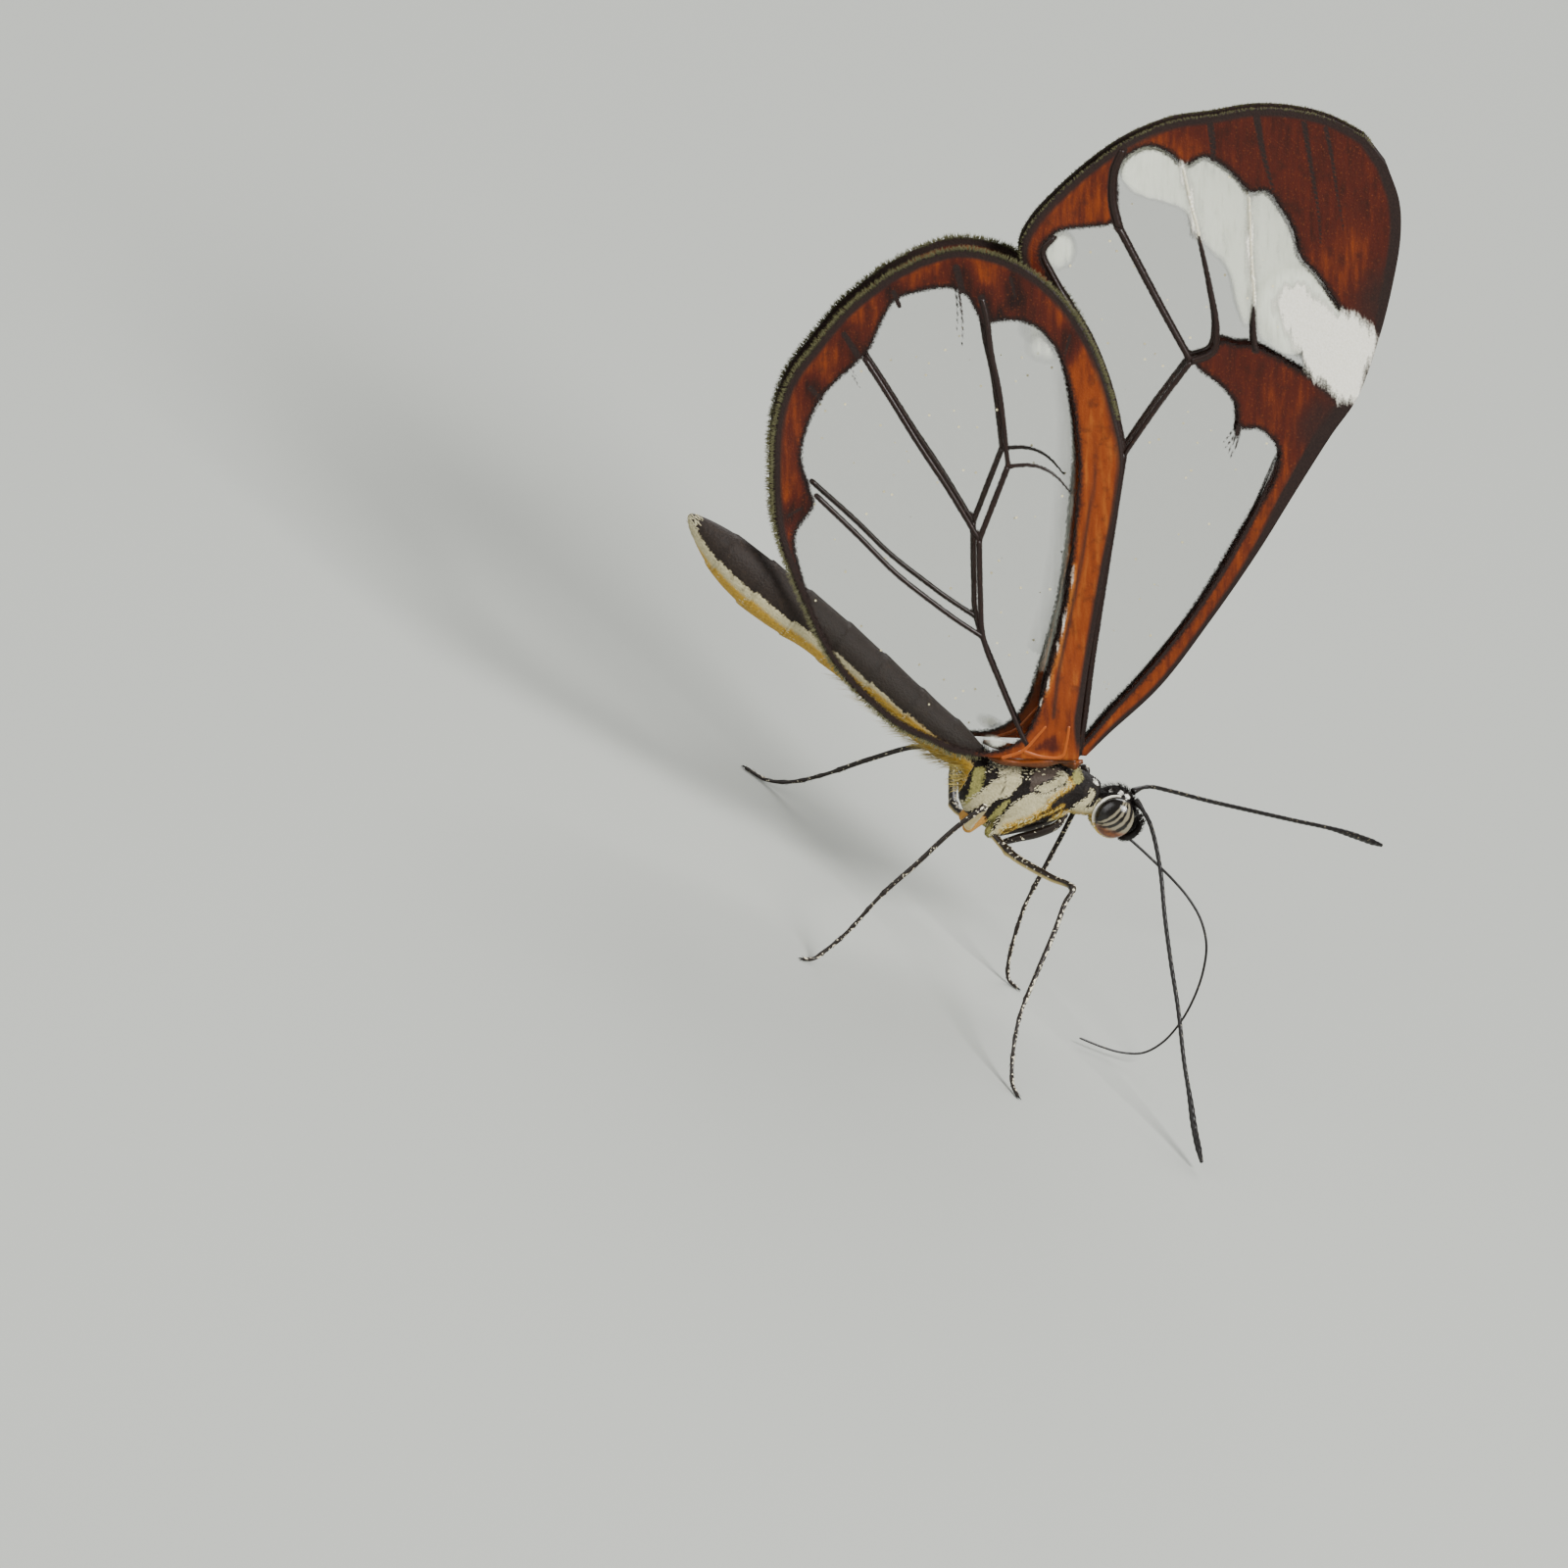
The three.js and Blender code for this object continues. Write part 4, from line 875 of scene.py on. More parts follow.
def ball(centre, radii, segments=40, rings=28):
    """An egg shape from a sphere with its poles to either side."""
    bpy.ops.object.select_all(action="DESELECT")
    bpy.ops.mesh.primitive_uv_sphere_add(segments=segments, ring_count=rings, location=centre,
                                         rotation=(math.pi / 2, 0, 0),
                                         scale=(radii[0], radii[2], radii[1]))
    return taken()


def cone_between(start, end, wide, thin, sides=18):
    """A blunt cone from one point to another."""
    start, end = Vector(start), Vector(end)
    run = end - start
    bpy.ops.object.select_all(action="DESELECT")
    turn = run.to_track_quat("Z", "Y").to_euler()
    bpy.ops.mesh.primitive_cone_add(vertices=sides, radius1=wide, radius2=thin, depth=run.length,
                                    location=(start + end) / 2, rotation=turn)
    return taken()


HEAD_CENTRE = (5.62, 0.0, 9.42)
HEAD_RADII = (1.05, 0.9, 1.1)
EYE_CENTRE = (5.67, 0.86, 9.3)
EYE_RADII = (0.85, 0.5, 0.93)
# The legs' roots on the left side: top, tip, and their radii in mm, for the middle and hind legs
COXAE = [((2.3, 0.75, 8.1), (1.05, 0.8, 6.32), 0.6, 0.3), ((0.7, 0.7, 7.9), (0.05, 0.76, 6.08), 0.56, 0.28)]


def body_parts():
    """The closed forms that are fused into the body's skin."""
    rings = 180
    line = spline(ABDOMEN, rings)
    u = np.linspace(0, 1, rings)
    # each ring widens to its rear edge, which overlaps the next
    groove = 0.96 + 0.06 * ((u * RINGS) % 1.0) ** 2
    high = line[:, 2] * groove
    path = np.column_stack([line[:, 0], np.zeros(rings), line[:, 1]])
    parts = [loft(path, np.minimum(0.93, line[:, 2] * 0.85) * groove, high, 48)]
    stations = spline(THORAX, 60)
    path = np.array([thorax_point(a, 0, b) for a, b in stations[:, :2]])
    parts.append(loft(path, stations[:, 2], stations[:, 3], 40, 2.5))
    parts.append(ball(HEAD_CENTRE, HEAD_RADII))
    for side in (-1, 1):
        for top, tip, wide, thin in COXAE:
            start = (top[0], side * top[1], top[2])
            end = (tip[0], side * tip[1], tip[2])
            parts.append(cone_between(start, end, wide, thin))
            parts.append(ball(end, (thin, thin, thin), 20, 12))
        # the ridge on which the wings are hinged
        ridge = spline([thorax_point(a, side * 0.9, 7.55) for a in (3.4, 4.8, 6.2, 7.1)], 20)
        parts.append(tube(ridge, 0.2 + 0.16 * np.sin(np.linspace(0.2, math.pi - 0.2, 20)), 14))
    return parts


def select_only(piece):
    """An operator acts on all that is selected, and the loaded nodes are."""
    bpy.ops.object.select_all(action="DESELECT")
    piece.select_set(True)
    bpy.context.view_layer.objects.active = piece


def fused(name, parts, voxel_mm, smoothing):
    """Closed parts fused into one skin. It is worked in millimetres, where the voxels are large enough."""
    vertices, faces = joined(parts)
    mesh = bpy.data.meshes.new(name)
    mesh.from_pydata([tuple(v) for v in vertices], [], faces)
    work = bpy.data.objects.new(name, mesh)
    bpy.context.scene.collection.objects.link(work)
    select_only(work)
    remesh = work.modifiers.new("skin", "REMESH")
    remesh.mode = "VOXEL"
    remesh.voxel_size = voxel_mm
    soften = work.modifiers.new("soften", "SMOOTH")
    soften.iterations = smoothing
    soften.factor = 0.5
    for modifier in ("skin", "soften"):
        bpy.ops.object.modifier_apply(modifier=modifier)
    count = len(work.data.vertices)
    points = np.zeros(count * 3)
    work.data.vertices.foreach_get("co", points)
    faces = [tuple(p.vertices) for p in work.data.polygons]
    bpy.data.objects.remove(work)
    bpy.data.meshes.remove(mesh)
    return points.reshape(-1, 3), faces


# Scaled patches on the side of the thorax and neck, as outlines in the middle plane
HIND_PLATE = [(-0.27, 7.78), (-0.09, 8.35), (0.11, 8.67), (0.35, 9.0), (0.62, 9.19), (0.9, 9.32),
              (1.08, 9.12), (1.02, 8.73), (0.89, 8.29), (0.64, 8.06), (0.43, 7.85), (0.36, 7.49),
              (0.24, 7.22), (-0.06, 7.18), (-0.19, 6.84), (-0.45, 6.6), (-0.6, 6.81), (-0.52, 7.17)]
HIND_SUTURE = [(0.35, 9.0), (0.49, 8.64), (0.55, 8.13)]
HIND_FUZZ = [(0.12, 8.94), (0.35, 9.21), (0.73, 9.59), (0.95, 9.45), (0.62, 9.22), (0.36, 9.02)]
MIDDLE_PLATE = [(1.09, 6.4), (1.1, 6.77), (1.09, 7.2), (1.2, 7.69), (1.28, 8.05), (1.46, 8.4),
                (1.7, 8.74), (1.97, 8.92), (2.25, 9.0), (2.54, 9.25), (2.84, 9.56), (3.11, 9.96),
                (3.25, 9.9), (2.85, 9.24), (2.66, 8.82), (2.65, 8.44), (2.4, 8.11), (2.22, 7.75),
                (1.93, 7.5), (1.73, 7.19), (1.44, 6.94), (1.39, 6.64), (1.33, 6.3), (1.15, 6.2)]
FUZZ_PLATE = [(1.87, 9.14), (2.11, 9.46), (2.38, 9.75), (2.67, 10.1), (2.94, 10.08), (2.79, 9.7),
              (2.54, 9.38), (2.28, 9.1), (1.98, 9.04)]
PLUM_PLATE = [(1.49, 9.14), (1.43, 9.44), (1.55, 9.71), (1.82, 9.9), (2.09, 10.19), (2.33, 10.52),
              (2.76, 10.45), (2.6, 10.16), (2.3, 9.84), (2.05, 9.55), (1.82, 9.15), (1.66, 8.86)]
GREEN_PLATE = [(0.97, 6.06), (0.62, 6.43), (0.6, 6.96), (0.71, 7.56), (0.85, 8.0), (1.02, 8.15),
               (1.02, 7.91), (0.98, 7.29), (0.93, 6.83), (0.98, 6.44), (1.1, 6.08)]
ORANGE_TIP = [(-0.45, 5.6), (-0.42, 6.2), (-0.1, 6.6), (0.07, 6.85), (0.35, 6.95), (0.62, 6.63),
              (0.55, 6.0), (0.4, 5.6)]
REAR_PLATE = [(-0.6, 6.7), (-0.72, 7.68), (-0.85, 8.25), (-0.9, 8.6), (-0.5, 8.75), (-0.39, 8.37),
              (-0.33, 7.93), (-0.42, 7.42), (-0.5, 6.99)]
NECK_PATCH = [(3.25, 8.05), (3.45, 8.5), (3.8, 8.77), (3.89, 9.17), (4.04, 9.45), (4.17, 9.76),
              (4.18, 10.02), (4.36, 9.96), (4.41, 9.68), (4.38, 9.46), (4.27, 9.2), (4.55, 9.24),
              (4.65, 9.69), (4.85, 9.79), (4.82, 9.47), (4.83, 9.07), (4.9, 8.7), (5.1, 8.3),
              (4.63, 8.2), (4.18, 7.9), (3.73, 7.7), (3.37, 7.8)]
GOLD_LINE = [(3.3, 8.85), (3.03, 8.45), (2.7, 8.07), (2.36, 7.64), (1.91, 7.09), (1.6, 6.6)]
WHITE_ROW = [(-0.3, 8.9), (0.5, 9.4), (1.2, 9.5), (1.6, 9.85), (2.1, 10.2), (2.6, 10.45), (3.1, 10.5)]
WHITE_SPOTS = [(4.32, 10.41, 0.2), (5.05, 10.3, 0.13), (5.5, 10.36, 0.13), (5.84, 10.34, 0.13)]
OLIVE_SPOT = (3.37, 10.2, 0.24)


def abdomen_place(x, z):
    """How far up the abdomen's height a point is, from -1 to 1, its half height and its ring."""
    line = spline(ABDOMEN, 200)
    order = np.argsort(line[:, 0])
    middle = np.interp(x, line[order, 0], line[order, 1])
    half = np.maximum(np.interp(x, line[order, 0], line[order, 2]), 0.1)
    ring = np.interp(x, line[order, 0], np.linspace(1, 0, 200)) * RINGS
    return (z - middle) / half, half, ring


def body_values(points):
    """How far inside each coloured patch a point of the skin lies, in mm, and its dark lines."""
    x, y, z = points[:, 0], np.abs(points[:, 1]), points[:, 2]
    plane = points[:, [0, 2]]
    nowhere = np.full(len(points), -3.0)
    on_side = (y - 0.3) * 0.8

    def patch(*outlines):
        reach = nowhere
        for outline in outlines:
            reach = np.maximum(reach, region_distance(plane, spline(outline, 80, True)))
        return np.minimum(reach, on_side)

    cream = patch(HIND_PLATE, MIDDLE_PLATE, HIND_FUZZ, FUZZ_PLATE)
    grey = patch(PLUM_PLATE)
    olive = patch(GREEN_PLATE, REAR_PLATE)
    olive = np.maximum(olive, OLIVE_SPOT[2] - np.hypot(x - OLIVE_SPOT[0], z - OLIVE_SPOT[1]))
    orange = patch(ORANGE_TIP)
    neck = region_distance(plane, spline(NECK_PATCH, 160, True))
    cream = np.maximum(cream, neck)
    # the plates turn gold on their lower front edge, and so does the neck below
    lower_front = 0.11 - line_distance(plane, spline(MIDDLE_PLATE[11:22], 60))[0]
    gold = np.minimum(lower_front, cream + 0.15)
    gold = np.maximum(gold, np.minimum(neck + 0.1, (8.75 + 0.25 * (x - 4) - z) * 0.6))
    gold = np.maximum(gold, 0.06 - line_distance(plane, spline(GOLD_LINE, 30))[0])
    white = nowhere
    for sx, sz, size in WHITE_SPOTS:
        white = np.maximum(white, size - np.hypot(x - sx, z - sz) - 0.5 * np.abs(y - 0.45))
    suture = smooth(0.045, 0.0, line_distance(plane, spline(HIND_SUTURE, 30))[0]) * (y > 0.5)
    # abdomen: plum above, cream and gold below, with pale ring lines and a ragged boundary
    up, half, ring = abdomen_place(x, z)
    rear = x < -1.0
    phase = ring % 1.0
    low_line = -0.18 - 0.25 * smooth(-13, -17, x) + 0.12 * smooth(-6, -1, x) + 0.1 * (phase - 0.5)
    belly = (low_line - up) * half
    seam = np.minimum(phase, 1 - phase) / RINGS * 17.0
    plum = np.where(rear, 1.0, nowhere)
    cream = np.where(rear, belly, cream)
    gold = np.where(rear, belly - 0.42 + 0.4 * smooth(-11, -3, x), gold)
    line = np.where(rear, 0.4 * smooth(0.16, 0.06, seam) * smooth(0.02, 0.08, seam), suture)
    return {"cream": cream, "gold": gold, "white": np.where(rear, -1, white), "olive": olive,
            "orange": orange, "plum": plum, "grey": grey, "line": line}


def skin_place(points):
    """Where a point of the skin lies on the skin's unwrap: along the body and round it."""
    along = (points[:, 0] + 18) / 26
    middle = np.interp(points[:, 0], [-17.5, -12, -1.5, 2, 5.6], [13.2, 11.5, 8.9, 8.6, 9.4])
    round_it = np.arctan2(points[:, 1], points[:, 2] - middle) / (2 * math.pi) + 0.5
    return np.column_stack([along, round_it])


def skin_samples(points, faces, count, rng):
    """Random places on the skin, with their normals."""
    quads = np.array([f if len(f) == 4 else (*f, f[-1]) for f in faces])
    a, b, c, d = (points[quads[:, k]] for k in range(4))
    normal = np.cross(c - a, d - b)
    area = np.linalg.norm(normal, axis=1)
    pick = rng.choice(len(quads), count, p=area / area.sum())
    u, v = rng.random((count, 1)), rng.random((count, 1))
    place = (a[pick] * (1 - u) + b[pick] * u) * (1 - v) + (d[pick] * (1 - u) + c[pick] * u) * v
    return place, unit(normal[pick] / area[pick][:, None])


def lie_of_coat(points):
    """Which way the scales point: back along the abdomen, down and back on the thorax and head."""
    n = len(points)
    rear = smooth(1.0, -2.5, points[:, 0])[:, None]
    tail = np.tile([-1.0, 0.0, 0.28], (n, 1))
    flank = np.tile([-0.62, 0.0, -0.75], (n, 1))
    return tail * rear + flank * (1 - rear)


def coat(name, roots, up, length, width, lift, sag, material, rng):
    """Blades at places on the skin, along the lie of the coat and lifted a little off the skin."""
    n = len(roots)
    lie = lie_of_coat(roots) + rng.normal(0, 0.22, (n, 3))
    lie = unit(lie - up * (lie * up).sum(axis=1)[:, None])
    direction = lie + up * (lift * rng.uniform(0.6, 1.4, (n, 1)))
    direction[:, 2] -= sag
    lengths = length * rng.uniform(0.7, 1.3, n)
    widths = width * rng.uniform(0.8, 1.2, n)
    coat_piece(name, roots - up * 0.02, direction, lengths, widths, up, skin_place(roots), material)


# So many places on the skin are tried for a scale or hair
SCALES_TRIED = 26000
SKIN_VOXEL_MM = 0.07
SKIN_SMOOTHINGS = 5


def coat_body(points, faces):
    """Scales and hairs, each coat where the skin has its colour. The plates' own scales lie flat and
    are mostly bump, and tufts break the form along their edges."""
    rng = np.random.default_rng(21)
    places, normals = skin_samples(points, faces, SCALES_TRIED, rng)
    values = body_values(places)
    x, y, z = places.T
    up, _, _ = abdomen_place(x, z)
    thorax = (x > -0.9) & (x < 4.6)
    head = x >= 4.6
    rear = ~thorax & ~head
    eyeward = np.hypot((x - EYE_CENTRE[0]) / EYE_RADII[0], (z - EYE_CENTRE[2]) / EYE_RADII[2])
    head &= ~((eyeward < 1.1) & (np.abs(y) > 0.45))
    lucky = rng.random(len(x))
    gold = values["gold"] > 0.02
    cream = (values["cream"] > 0.0) & ~gold
    other = np.maximum(values["white"], np.maximum(values["olive"], values["orange"]))
    dark = ~cream & ~gold & (np.maximum(other, values["grey"]) < 0)
    edge = np.abs(values["cream"]) < 0.07
    row = (line_distance(places[:, [0, 2]], spline(WHITE_ROW, 40))[0] < 0.5 * lucky) & (lucky < 0.55)
    spots = (values["white"] > 0) & (head | (x > 4))
    top = thorax & (z > 9.3 + 0.35 * x) & (np.abs(y) < 1.0) & (lucky < 0.8)
    under = rear & (up < -0.35) & (x > -9.5) & (lucky < 0.6 * smooth(-9.5, -2.5, x))
    tip = x < -16.9
    # each coat's name and places, its blades' length and width in mm, lift and sag, and its material
    for name, pick, length, width, lift, sag, material in (
            ("cream_scales", cream & thorax & (lucky < 0.3), 0.09, 0.045, 0.06, 0, TUFT_CREAM),
            ("gold_scales", gold & ~rear & (lucky < 0.9), 0.17, 0.05, 0.3, 0, TUFT_GOLD),
            ("dark_scales", dark & thorax & (lucky < 0.9), 0.13, 0.045, 0.25, 0, TUFT_DARK),
            ("edge_scales", edge & thorax, 0.17, 0.045, 0.35, 0, TUFT_CREAM),
            ("white_scales", row & thorax, 0.15, 0.07, 0.5, 0, TUFT_CREAM),
            ("white_spots", spots, 0.14, 0.06, 0.5, 0, TUFT_WHITE),
            ("head_hair", head & dark & (z > 8.9), 0.3, 0.04, 0.9, 0, TUFT_DARK),
            ("chin_hair", head & (z <= 8.9), 0.22, 0.04, 0.5, 0, TUFT_GOLD),
            ("back_hair", top, 0.42, 0.035, 0.7, 0, TUFT_DARK),
            ("back_pale_hair", top & (lucky < 0.16), 0.5, 0.04, 0.8, 0, TUFT_CREAM),
            ("belly_hair", under, 0.8, 0.026, 0.5, 0.1, TUFT_GOLD),
            ("plum_scales", rear & (up > -0.1) & (lucky < 0.5), 0.16, 0.06, 0.06, 0, TUFT_PLUM),
            ("belly_scales", rear & (up < -0.3) & (lucky < 0.45), 0.16, 0.06, 0.08, 0, TUFT_CREAM),
            ("tail_brush", tip, 0.2, 0.04, 0.25, 0, TUFT_CREAM)):
        coat(name, places[pick], normals[pick], length, width, lift, sag, material, rng)


def make_body():
    """One skin from the head to the abdomen's tip, and the scales and hairs over it."""
    points, faces = fused("body", body_parts(), SKIN_VOXEL_MM, SKIN_SMOOTHINGS)
    piece = new_piece("body_skin", placed(points), faces, BODY, body_values(points))
    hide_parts("thorax", "prothorax", "abdomen", "head")
    coat_body(points, faces)


# The eye's stripes are arcs through which two poles are seen under the same angle, in degrees:
# one pole above the eye, and one low behind it, in mm from the eye's centre
UPPER_POLE = (0.0, 1.2)
REAR_POLE = (-0.85, -0.62)
STRIPE_STEP = 24
FIRST_STRIPE = 84
LAST_STRIPE = 152


def make_eyes():
    """Glossy domes with curved stripes, and a rim of pale scales behind and below each."""
    for side, word in ((-1, "right"), (1, "left")):
        centre = (EYE_CENTRE[0], side * EYE_CENTRE[1], EYE_CENTRE[2])
        v, faces = ball(centre, EYE_RADII, 72, 48)
        px, pz = v[:, 0] - centre[0], v[:, 2] - centre[2]
        top = np.arctan2(UPPER_POLE[1] - pz, UPPER_POLE[0] - px)
        back = np.arctan2(REAR_POLE[1] - pz, REAR_POLE[0] - px)
        arc = np.degrees(back - top) % 360
        stripe = np.cos(2 * math.pi * (arc - 140) / STRIPE_STEP)
        solid = 2.4 * smooth(LAST_STRIPE, LAST_STRIPE + 18, arc) - 1
        stripe = np.where(arc < FIRST_STRIPE, -1, np.maximum(stripe, solid))
        low = smooth(0.34, 0.62, -pz + 0.12 * px)
        stripe = stripe * (1 - 0.8 * low)
        values = {"stripe": stripe, "low": low}
        piece = new_piece("eye_" + word + "_dome", placed(v), faces, EYE, values)
        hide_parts("eye_" + word)
        turn = np.linspace(math.radians(100), math.radians(325), 70)
        rim = np.column_stack([centre[0] + np.cos(turn) * EYE_RADII[0] * 1.05,
                               np.full(70, side * 0.68),
                               centre[2] + np.sin(turn) * EYE_RADII[2] * 1.05])
        thick = 0.035 + 0.05 * np.sin(np.linspace(0.1, math.pi * 0.95, 70))
        thick = thick * (1 - 0.35 * smooth(205, 260, np.degrees(turn)))
        v, faces = tube(rim, thick, 10)
        under = smooth(200, 230, np.repeat(np.degrees(turn), 10))
        values = {"under": under, "speck": np.zeros(len(v))}
        new_piece("eye_rim_" + word, placed(v), faces, RIM_SCALES, values)


# Limbs: legs, antennae, proboscis and palps

def limb(name, nodes, path, radius, sides, material, leans=False, count=120, joints=(), under=0.0):
    """A limb with swollen joints. Under is the share of its length that is pale on the lower side."""
    line = spline(path, count)
    u = np.linspace(0, 1, count)
    r = np.asarray([radius(t) for t in u])
    for at, rise in joints:
        r = r * (1 + rise * np.exp(-((u - at) / 0.01) ** 2))
    r[0] *= 0.5
    r[-1] *= 0.4
    vertices, faces = tube(line, r, sides)
    facing = (vertices.reshape(count, sides, 3) - line[:, None]) / np.maximum(r, 1e-6)[:, None, None]
    shown = smooth(0.1, 0.45, -facing[:, :, 2]) * smooth(under, under - 0.05, u)[:, None]
    speck = smooth(0.0, 0.6, facing[:, :, 0] * 0.6 + facing[:, :, 2] * 0.6)
    values = {"under": shown.ravel(), "speck": speck.ravel()}
    piece = new_piece(name, placed(vertices, leans), faces, material, values)
    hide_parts(*nodes)
    return line


def coxa_tip(index, side):
    """Where a leg starts, in level millimetres: the walking legs' points don't lean with the body."""
    tip = COXAE[index][1]
    return tuple(placed([(tip[0], side * tip[1], tip[2])])[0] / MM - ORIGIN_SHIFT)


# The legs, antennae and proboscis in level millimetres. The right middle leg has one point more
# before its knee.
LEGS = {
    "midleg_right": [coxa_tip(0, -1), (2.07, -0.99, 6.25), (2.95, -1.95, 6.47), (3.75, -2.85, 6.76),
                     (4.58, -3.8, 7.1), (4.48, -4.32, 6.55), (4.46, -5.3, 5.57), (4.33, -6.9, 3.96),
                     (4.25, -8.53, 2.35), (4.57, -9.97, 1.0), (4.95, -10.8, 0.25), (5.3, -11.35, 0.09)],
    "midleg_left": [coxa_tip(0, 1), (1.9, 3.0, 6.75), (2.95, 3.4, 8.3), (4.15, 3.3, 9.75),
                    (4.45, 2.95, 9.0), (4.5, 2.5, 7.3), (4.48, 2.05, 5.4), (4.45, 1.5, 3.4),
                    (4.65, 1.1, 2.0), (5.0, 0.8, 0.7), (5.3, 0.6, 0.2), (5.8, 0.4, 0.09)],
    "hindleg_right": [coxa_tip(1, -1), (-0.3, -1.2, 6.8), (-0.5, -2.5, 7.8), (-0.86, -4.1, 8.86),
                      (-1.64, -4.61, 7.55), (-2.48, -5.27, 5.57), (-3.28, -5.87, 3.8),
                      (-3.96, -6.55, 1.71), (-4.45, -6.9, 0.7), (-4.8, -7.15, 0.2), (-5.3, -7.45, 0.09)],
    "hindleg_left": [coxa_tip(1, 1), (-0.35, 2.6, 5.75), (-0.55, 4.4, 6.1), (-0.78, 6.55, 6.42),
                     (-1.97, 7.19, 5.79), (-3.33, 8.08, 3.98), (-4.65, 9.03, 1.9), (-5.6, 9.6, 0.75),
                     (-6.5, 10.05, 0.18), (-7.5, 10.55, 0.09)],
}
ANTENNAE = {
    "antenna_right": [(6.2, 0.9, 10.35), (6.6, 0.6, 10.2), (7.15, 0.09, 9.9), (8.2, -1.17, 8.74),
                      (9.15, -2.56, 7.3), (10.14, -3.97, 5.93), (11.1, -5.26, 4.68), (12.17, -6.8, 3.12),
                      (13.0, -7.95, 2.05), (13.6, -8.9, 1.25), (14.3, -10.2, 0.5)],
    "antenna_left": [(6.1, 1.75, 10.3), (6.5, 2.1, 10.55), (6.9, 2.39, 10.65), (7.82, 3.02, 10.6),
                     (9.94, 4.46, 10.4), (12.3, 6.06, 10.24), (14.61, 7.63, 10.09), (16.97, 9.24, 9.94),
                     (19.62, 11.0, 9.53)],
}
PROBOSCIS = [(6.75, 1.2, 8.5), (7.64, 1.03, 8.29), (8.55, 0.86, 8.04), (9.4, 0.6, 7.82), (10.4, 0.3, 7.45),
             (11.3, 0, 6.9), (12.0, -0.4, 6.1), (12.4, -0.8, 5.0), (12.55, -1.2, 3.8), (12.5, -1.5, 2.7),
             (12.2, -1.8, 1.6), (11.6, -2.1, 0.85), (10.7, -2.3, 0.5), (9.8, -2.45, 0.4), (8.6, -2.6, 0.38)]
FEMUR_RADIUS = 0.195
TIBIA_RADIUS = 0.12
TARSUS_RADIUS = 0.085


def brush(name, line, radius, count, length, material, start=0.0, end=1.0, leans=True, seed=3):
    """Hairs round a limb, pointing out and toward its end."""
    rng = np.random.default_rng(seed)
    at = rng.uniform(start, end, count) * (len(line) - 1)
    tangent, side, up = frames_along(line)
    i = at.astype(int)
    angle = rng.uniform(0, 2 * math.pi, count)
    out = np.cos(angle)[:, None] * side[i] + np.sin(angle)[:, None] * up[i]
    roots = line[i] + out * radius * 0.8
    direction = tangent[i] * 1.2 + out * rng.uniform(0.4, 0.9, (count, 1))
    lengths = length * rng.uniform(0.6, 1.3, count)
    widths = np.full(count, 0.03)
    uv = np.column_stack([at / len(line), angle / (2 * math.pi)]) * 0.99
    coat_piece(name, roots, direction, lengths, widths, out, uv, material, leans)


def spines(name, line, knee):
    """Short stiff hairs along the shin and foot, and a pair of claws at the end."""
    brush(name, line, TIBIA_RADIUS, 90, 0.13, TUFT_DARK, knee, 1.0, False, 5)
    brush(name + "_thigh", line, 0.13, 60, 0.12, TUFT_CREAM, 0.05, knee, False, 6)
    end = line[-1]
    ahead = line[-1] - line[-6]
    ahead = ahead / np.linalg.norm(ahead)
    parts = []
    for turn in (-1, 1):
        across = np.array([-ahead[1], ahead[0], 0.0]) * turn
        bend = end + ahead * 0.08 + across * 0.05
        tip = end + ahead * 0.17 + across * 0.09
        tip[2] = max(tip[2] - 0.02, 0.03)
        parts.append(cone_between(end - ahead * 0.08, bend, 0.035, 0.028, 8))
        parts.append(cone_between(bend, tip, 0.028, 0.008, 8))
    vertices, faces = joined(parts)
    none = np.zeros(len(vertices))
    new_piece(name + "_claws", placed(vertices, False), faces, CUTICLE,
              {"under": none, "speck": none})


# An antenna has 44 rings, a swollen root and a slim club
ANTENNA_RADIUS = 0.098
ANTENNA_RINGS = 44


def antenna_radius(t):
    club = 0.05 * float(smooth(0.76, 0.88, t)) - 0.06 * float(smooth(0.95, 1.0, t))
    socket = 0.05 * float(smooth(0.03, 0.015, t))
    ringed = 1 + 0.06 * math.sin(2 * math.pi * ANTENNA_RINGS * t)
    return (ANTENNA_RADIUS + club + socket) * ringed


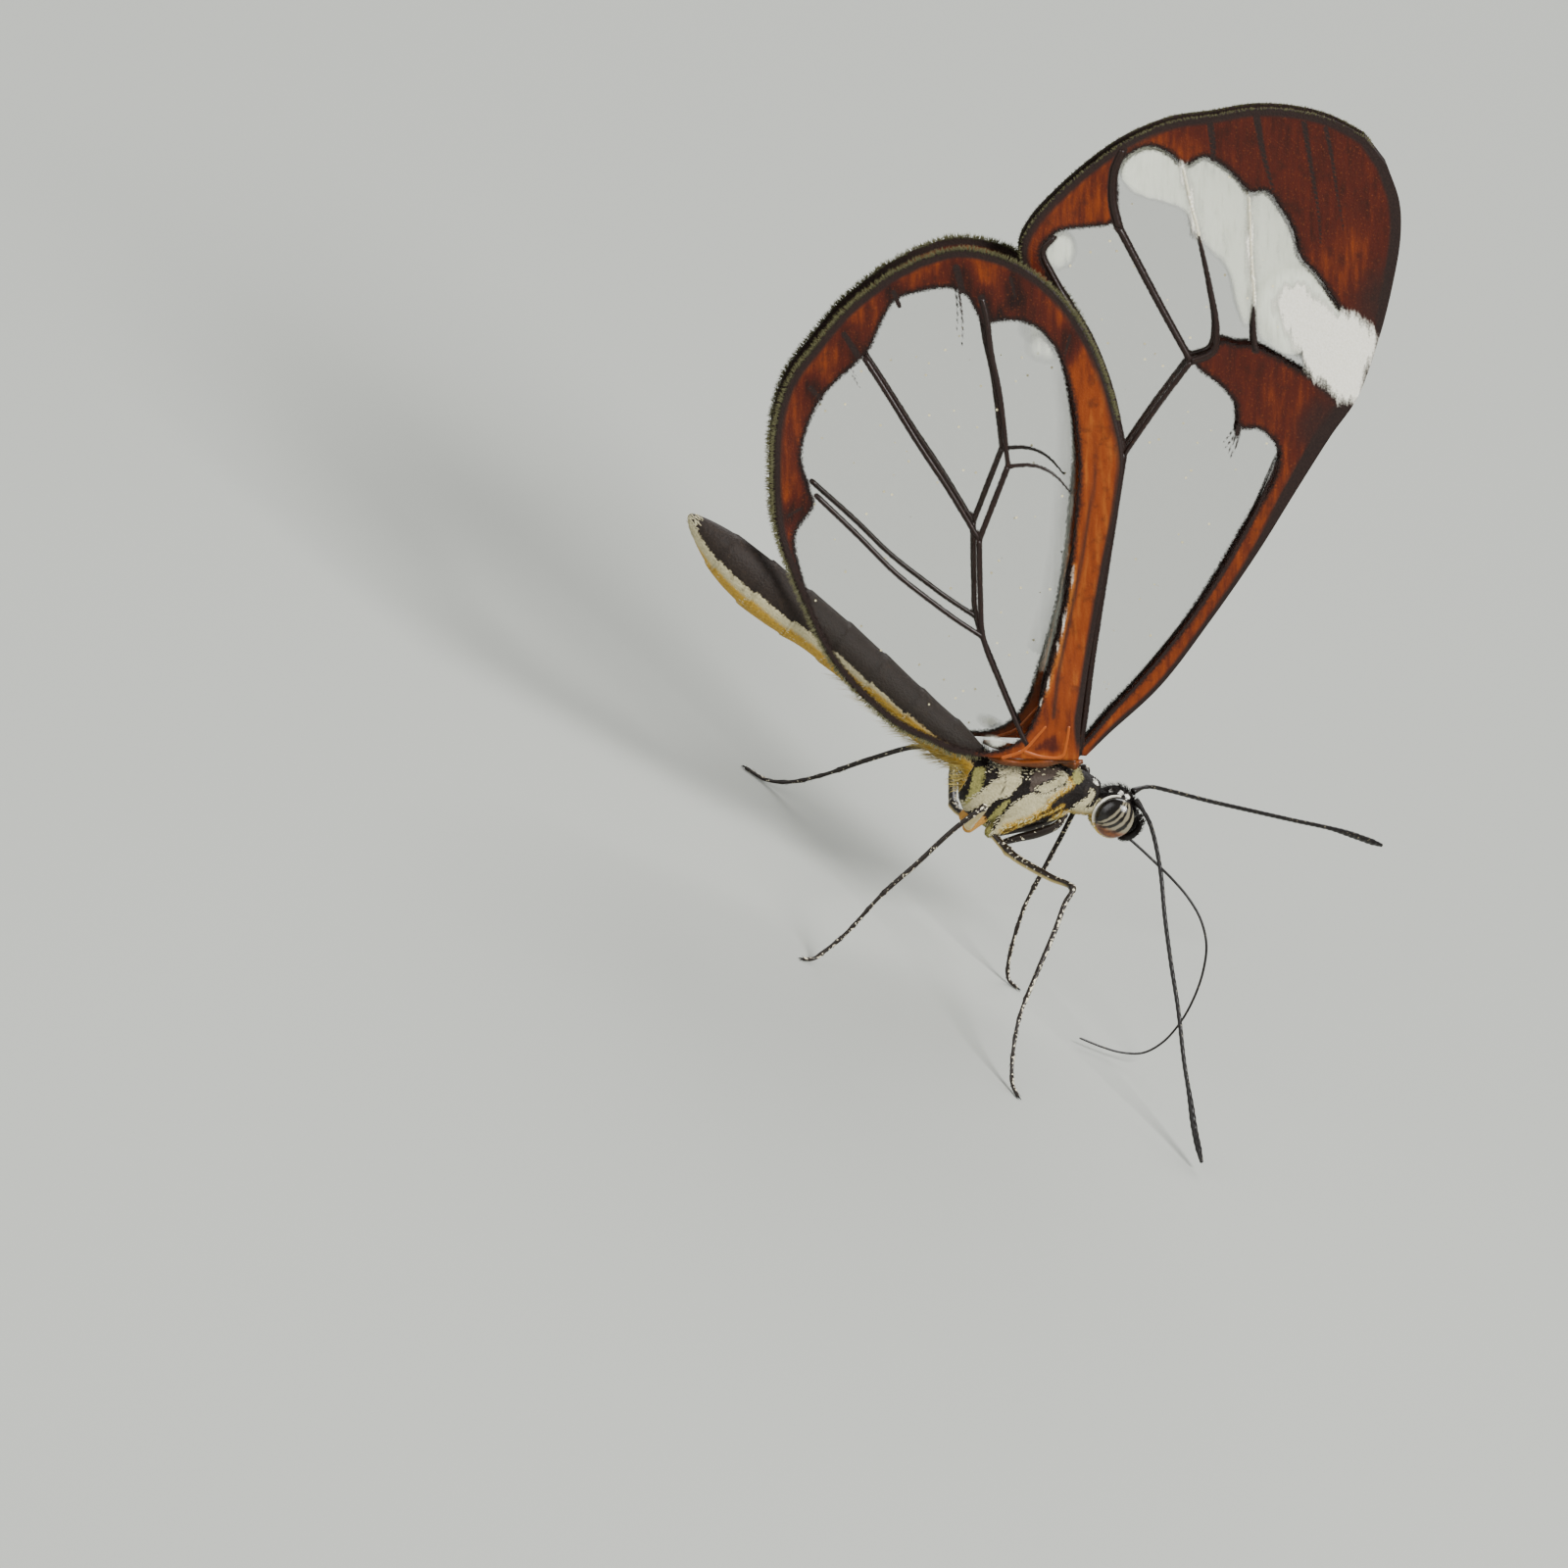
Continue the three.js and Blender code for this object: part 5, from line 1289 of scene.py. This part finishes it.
def make_limbs():
    """Walking legs, antennae, proboscis, the short forelegs held under the thorax, and the palps."""
    for name, path in LEGS.items():
        run = distance_along(np.array(path))
        run = run / run[-1]
        knee = run[4] if name == "midleg_right" else run[3]
        ankle = knee + (1 - knee) * 0.55

        def leg_radius(t, knee=knee, ankle=ankle):
            if t < knee:
                return FEMUR_RADIUS * (0.85 + 0.2 * math.sin(math.pi * t / knee) - 0.15 * t / knee)
            if t < ankle:
                return TIBIA_RADIUS - 0.012 * (t - knee) / (ankle - knee)
            return TARSUS_RADIUS

        tarsus = [(ankle + (1 - ankle) * k / 5, 0.25) for k in range(5)]
        joints = [(0.08, 0.3), (knee, 0.35)] + tarsus
        line = limb(name + "_limb", [name + "_upper", name + "_lower"], path, leg_radius, 14, LEG_CUTICLE,
                    count=320, joints=joints, under=knee)
        spines(name + "_spines", line, knee)
    for name, path in ANTENNAE.items():
        limb(name + "_shaft", [name], path, antenna_radius, 12, CUTICLE, count=440)
    limb("proboscis_tube", ["proboscis_base", "proboscis_bend", "proboscis_tip"], PROBOSCIS,
         lambda t: 0.066 - 0.022 * t, 10, CUTICLE, count=160)
    for word, side in (("right", -1), ("left", 1)):
        path = [(3.75, side * 0.45, 8.5), (3.6, side * 0.58, 7.85), (3.0, side * 0.62, 7.15),
                (2.3, side * 0.62, 6.55), (1.75, side * 0.66, 6.05)]
        line = limb("foreleg_" + word + "_limb", ["foreleg_" + word], path,
                    lambda t: 0.12 + 0.09 * math.sin(math.pi * t), 14, LEG_CUTICLE, True, 60)
        brush("foreleg_" + word + "_hair", line, 0.16, 260, 0.14, TUFT_DARK)
        path = [(6.3, side * 0.42, 8.5), (6.72, side * 0.44, 8.7), (6.95, side * 0.42, 9.15),
                (6.93, side * 0.4, 9.65)]
        line = limb("palp_" + word + "_brush", ["palp_" + word], path,
                    lambda t: 0.17 * math.sin(0.6 + 2.3 * t), 14, CUTICLE, True, 40)
        brush("palp_" + word + "_hair", line, 0.14, 420, 0.22, TUFT_DARK)


make_wings()
make_body()
make_eyes()
make_limbs()

# Camera: the photo looks at the right side from a little in front and above, rolled to its left

# All lengths in mm, found by fitting the feet, joints and wing tips to the photo
FRAME_WIDTH = 69.44
CAMERA_DISTANCE = 1500.0
AZIMUTH = math.radians(-13.874)
ELEVATION = math.radians(20.712)
ROLL = math.radians(-30.297)
FRAME_CENTRE = (-5.193, 6.850)


def make_camera():
    """A long lens far off, so that the view is nearly free of perspective, as in the photo."""
    ca, sa = math.cos(AZIMUTH), math.sin(AZIMUTH)
    ce, se = math.cos(ELEVATION), math.sin(ELEVATION)
    level = Vector((ca, sa, 0))
    rise = Vector((-sa * se, ca * se, ce))
    back = Vector((sa * ce, -ca * ce, se))
    c, s = math.cos(ROLL), math.sin(ROLL)
    right = level * c - rise * s
    up = level * s + rise * c
    shift = Vector(ORIGIN_SHIFT)
    target = right * FRAME_CENTRE[0] + up * FRAME_CENTRE[1] - back * 4.0 + shift
    data = bpy.data.cameras.new("camera")
    data.sensor_width = 36
    data.lens = 36 * CAMERA_DISTANCE / FRAME_WIDTH
    data.clip_start = 0.05
    data.clip_end = 20
    camera = bpy.data.objects.new("camera", data)
    bpy.context.scene.collection.objects.link(camera)
    turn = Matrix((right, up, back)).transposed().to_4x4()
    camera.matrix_world = Matrix.Translation((target + back * CAMERA_DISTANCE) * MM) @ turn
    bpy.context.scene.camera = camera


# Studio: a pale floor, a large soft key light, a weaker fill and an even grey surround

# Floor: matt uncoated paper, an even pale grey with no gloss
def make_studio():
    bpy.ops.object.select_all(action="DESELECT")
    bpy.ops.mesh.primitive_plane_add(size=6, location=(0, 0, 0))
    floor = bpy.context.active_object
    floor.name = "floor"
    material = blank_material("matt_paper_floor")
    surface = add(material.node_tree, "BsdfPrincipled", {"Base Color": srgb("#A9ABA4"), "Roughness": 0.9})
    add(material.node_tree, "OutputMaterial", {"Surface": surface})
    floor.data.materials.append(material)
    for name, place, size, power in (("key", (0.15, -0.2, 0.30), 0.14, 2.4),
                                     ("fill", (-0.25, -0.12, 0.16), 0.25, 0.5),
                                     ("rim", (0.02, 0.25, 0.25), 0.2, 1.0)):
        data = bpy.data.lights.new(name, "AREA")
        data.size = size
        data.energy = power
        lamp = bpy.data.objects.new(name, data)
        bpy.context.scene.collection.objects.link(lamp)
        lamp.location = place
        lamp.rotation_euler = (Vector((0, 0, 0.015)) - Vector(place)).to_track_quat("-Z", "Y").to_euler()
    world = bpy.data.worlds.new("surround")
    world.use_nodes = True
    world.node_tree.nodes["Background"].inputs[0].default_value = (0.75, 0.78, 0.8, 1)
    world.node_tree.nodes["Background"].inputs[1].default_value = 0.4
    bpy.context.scene.world = world


make_camera()
make_studio()
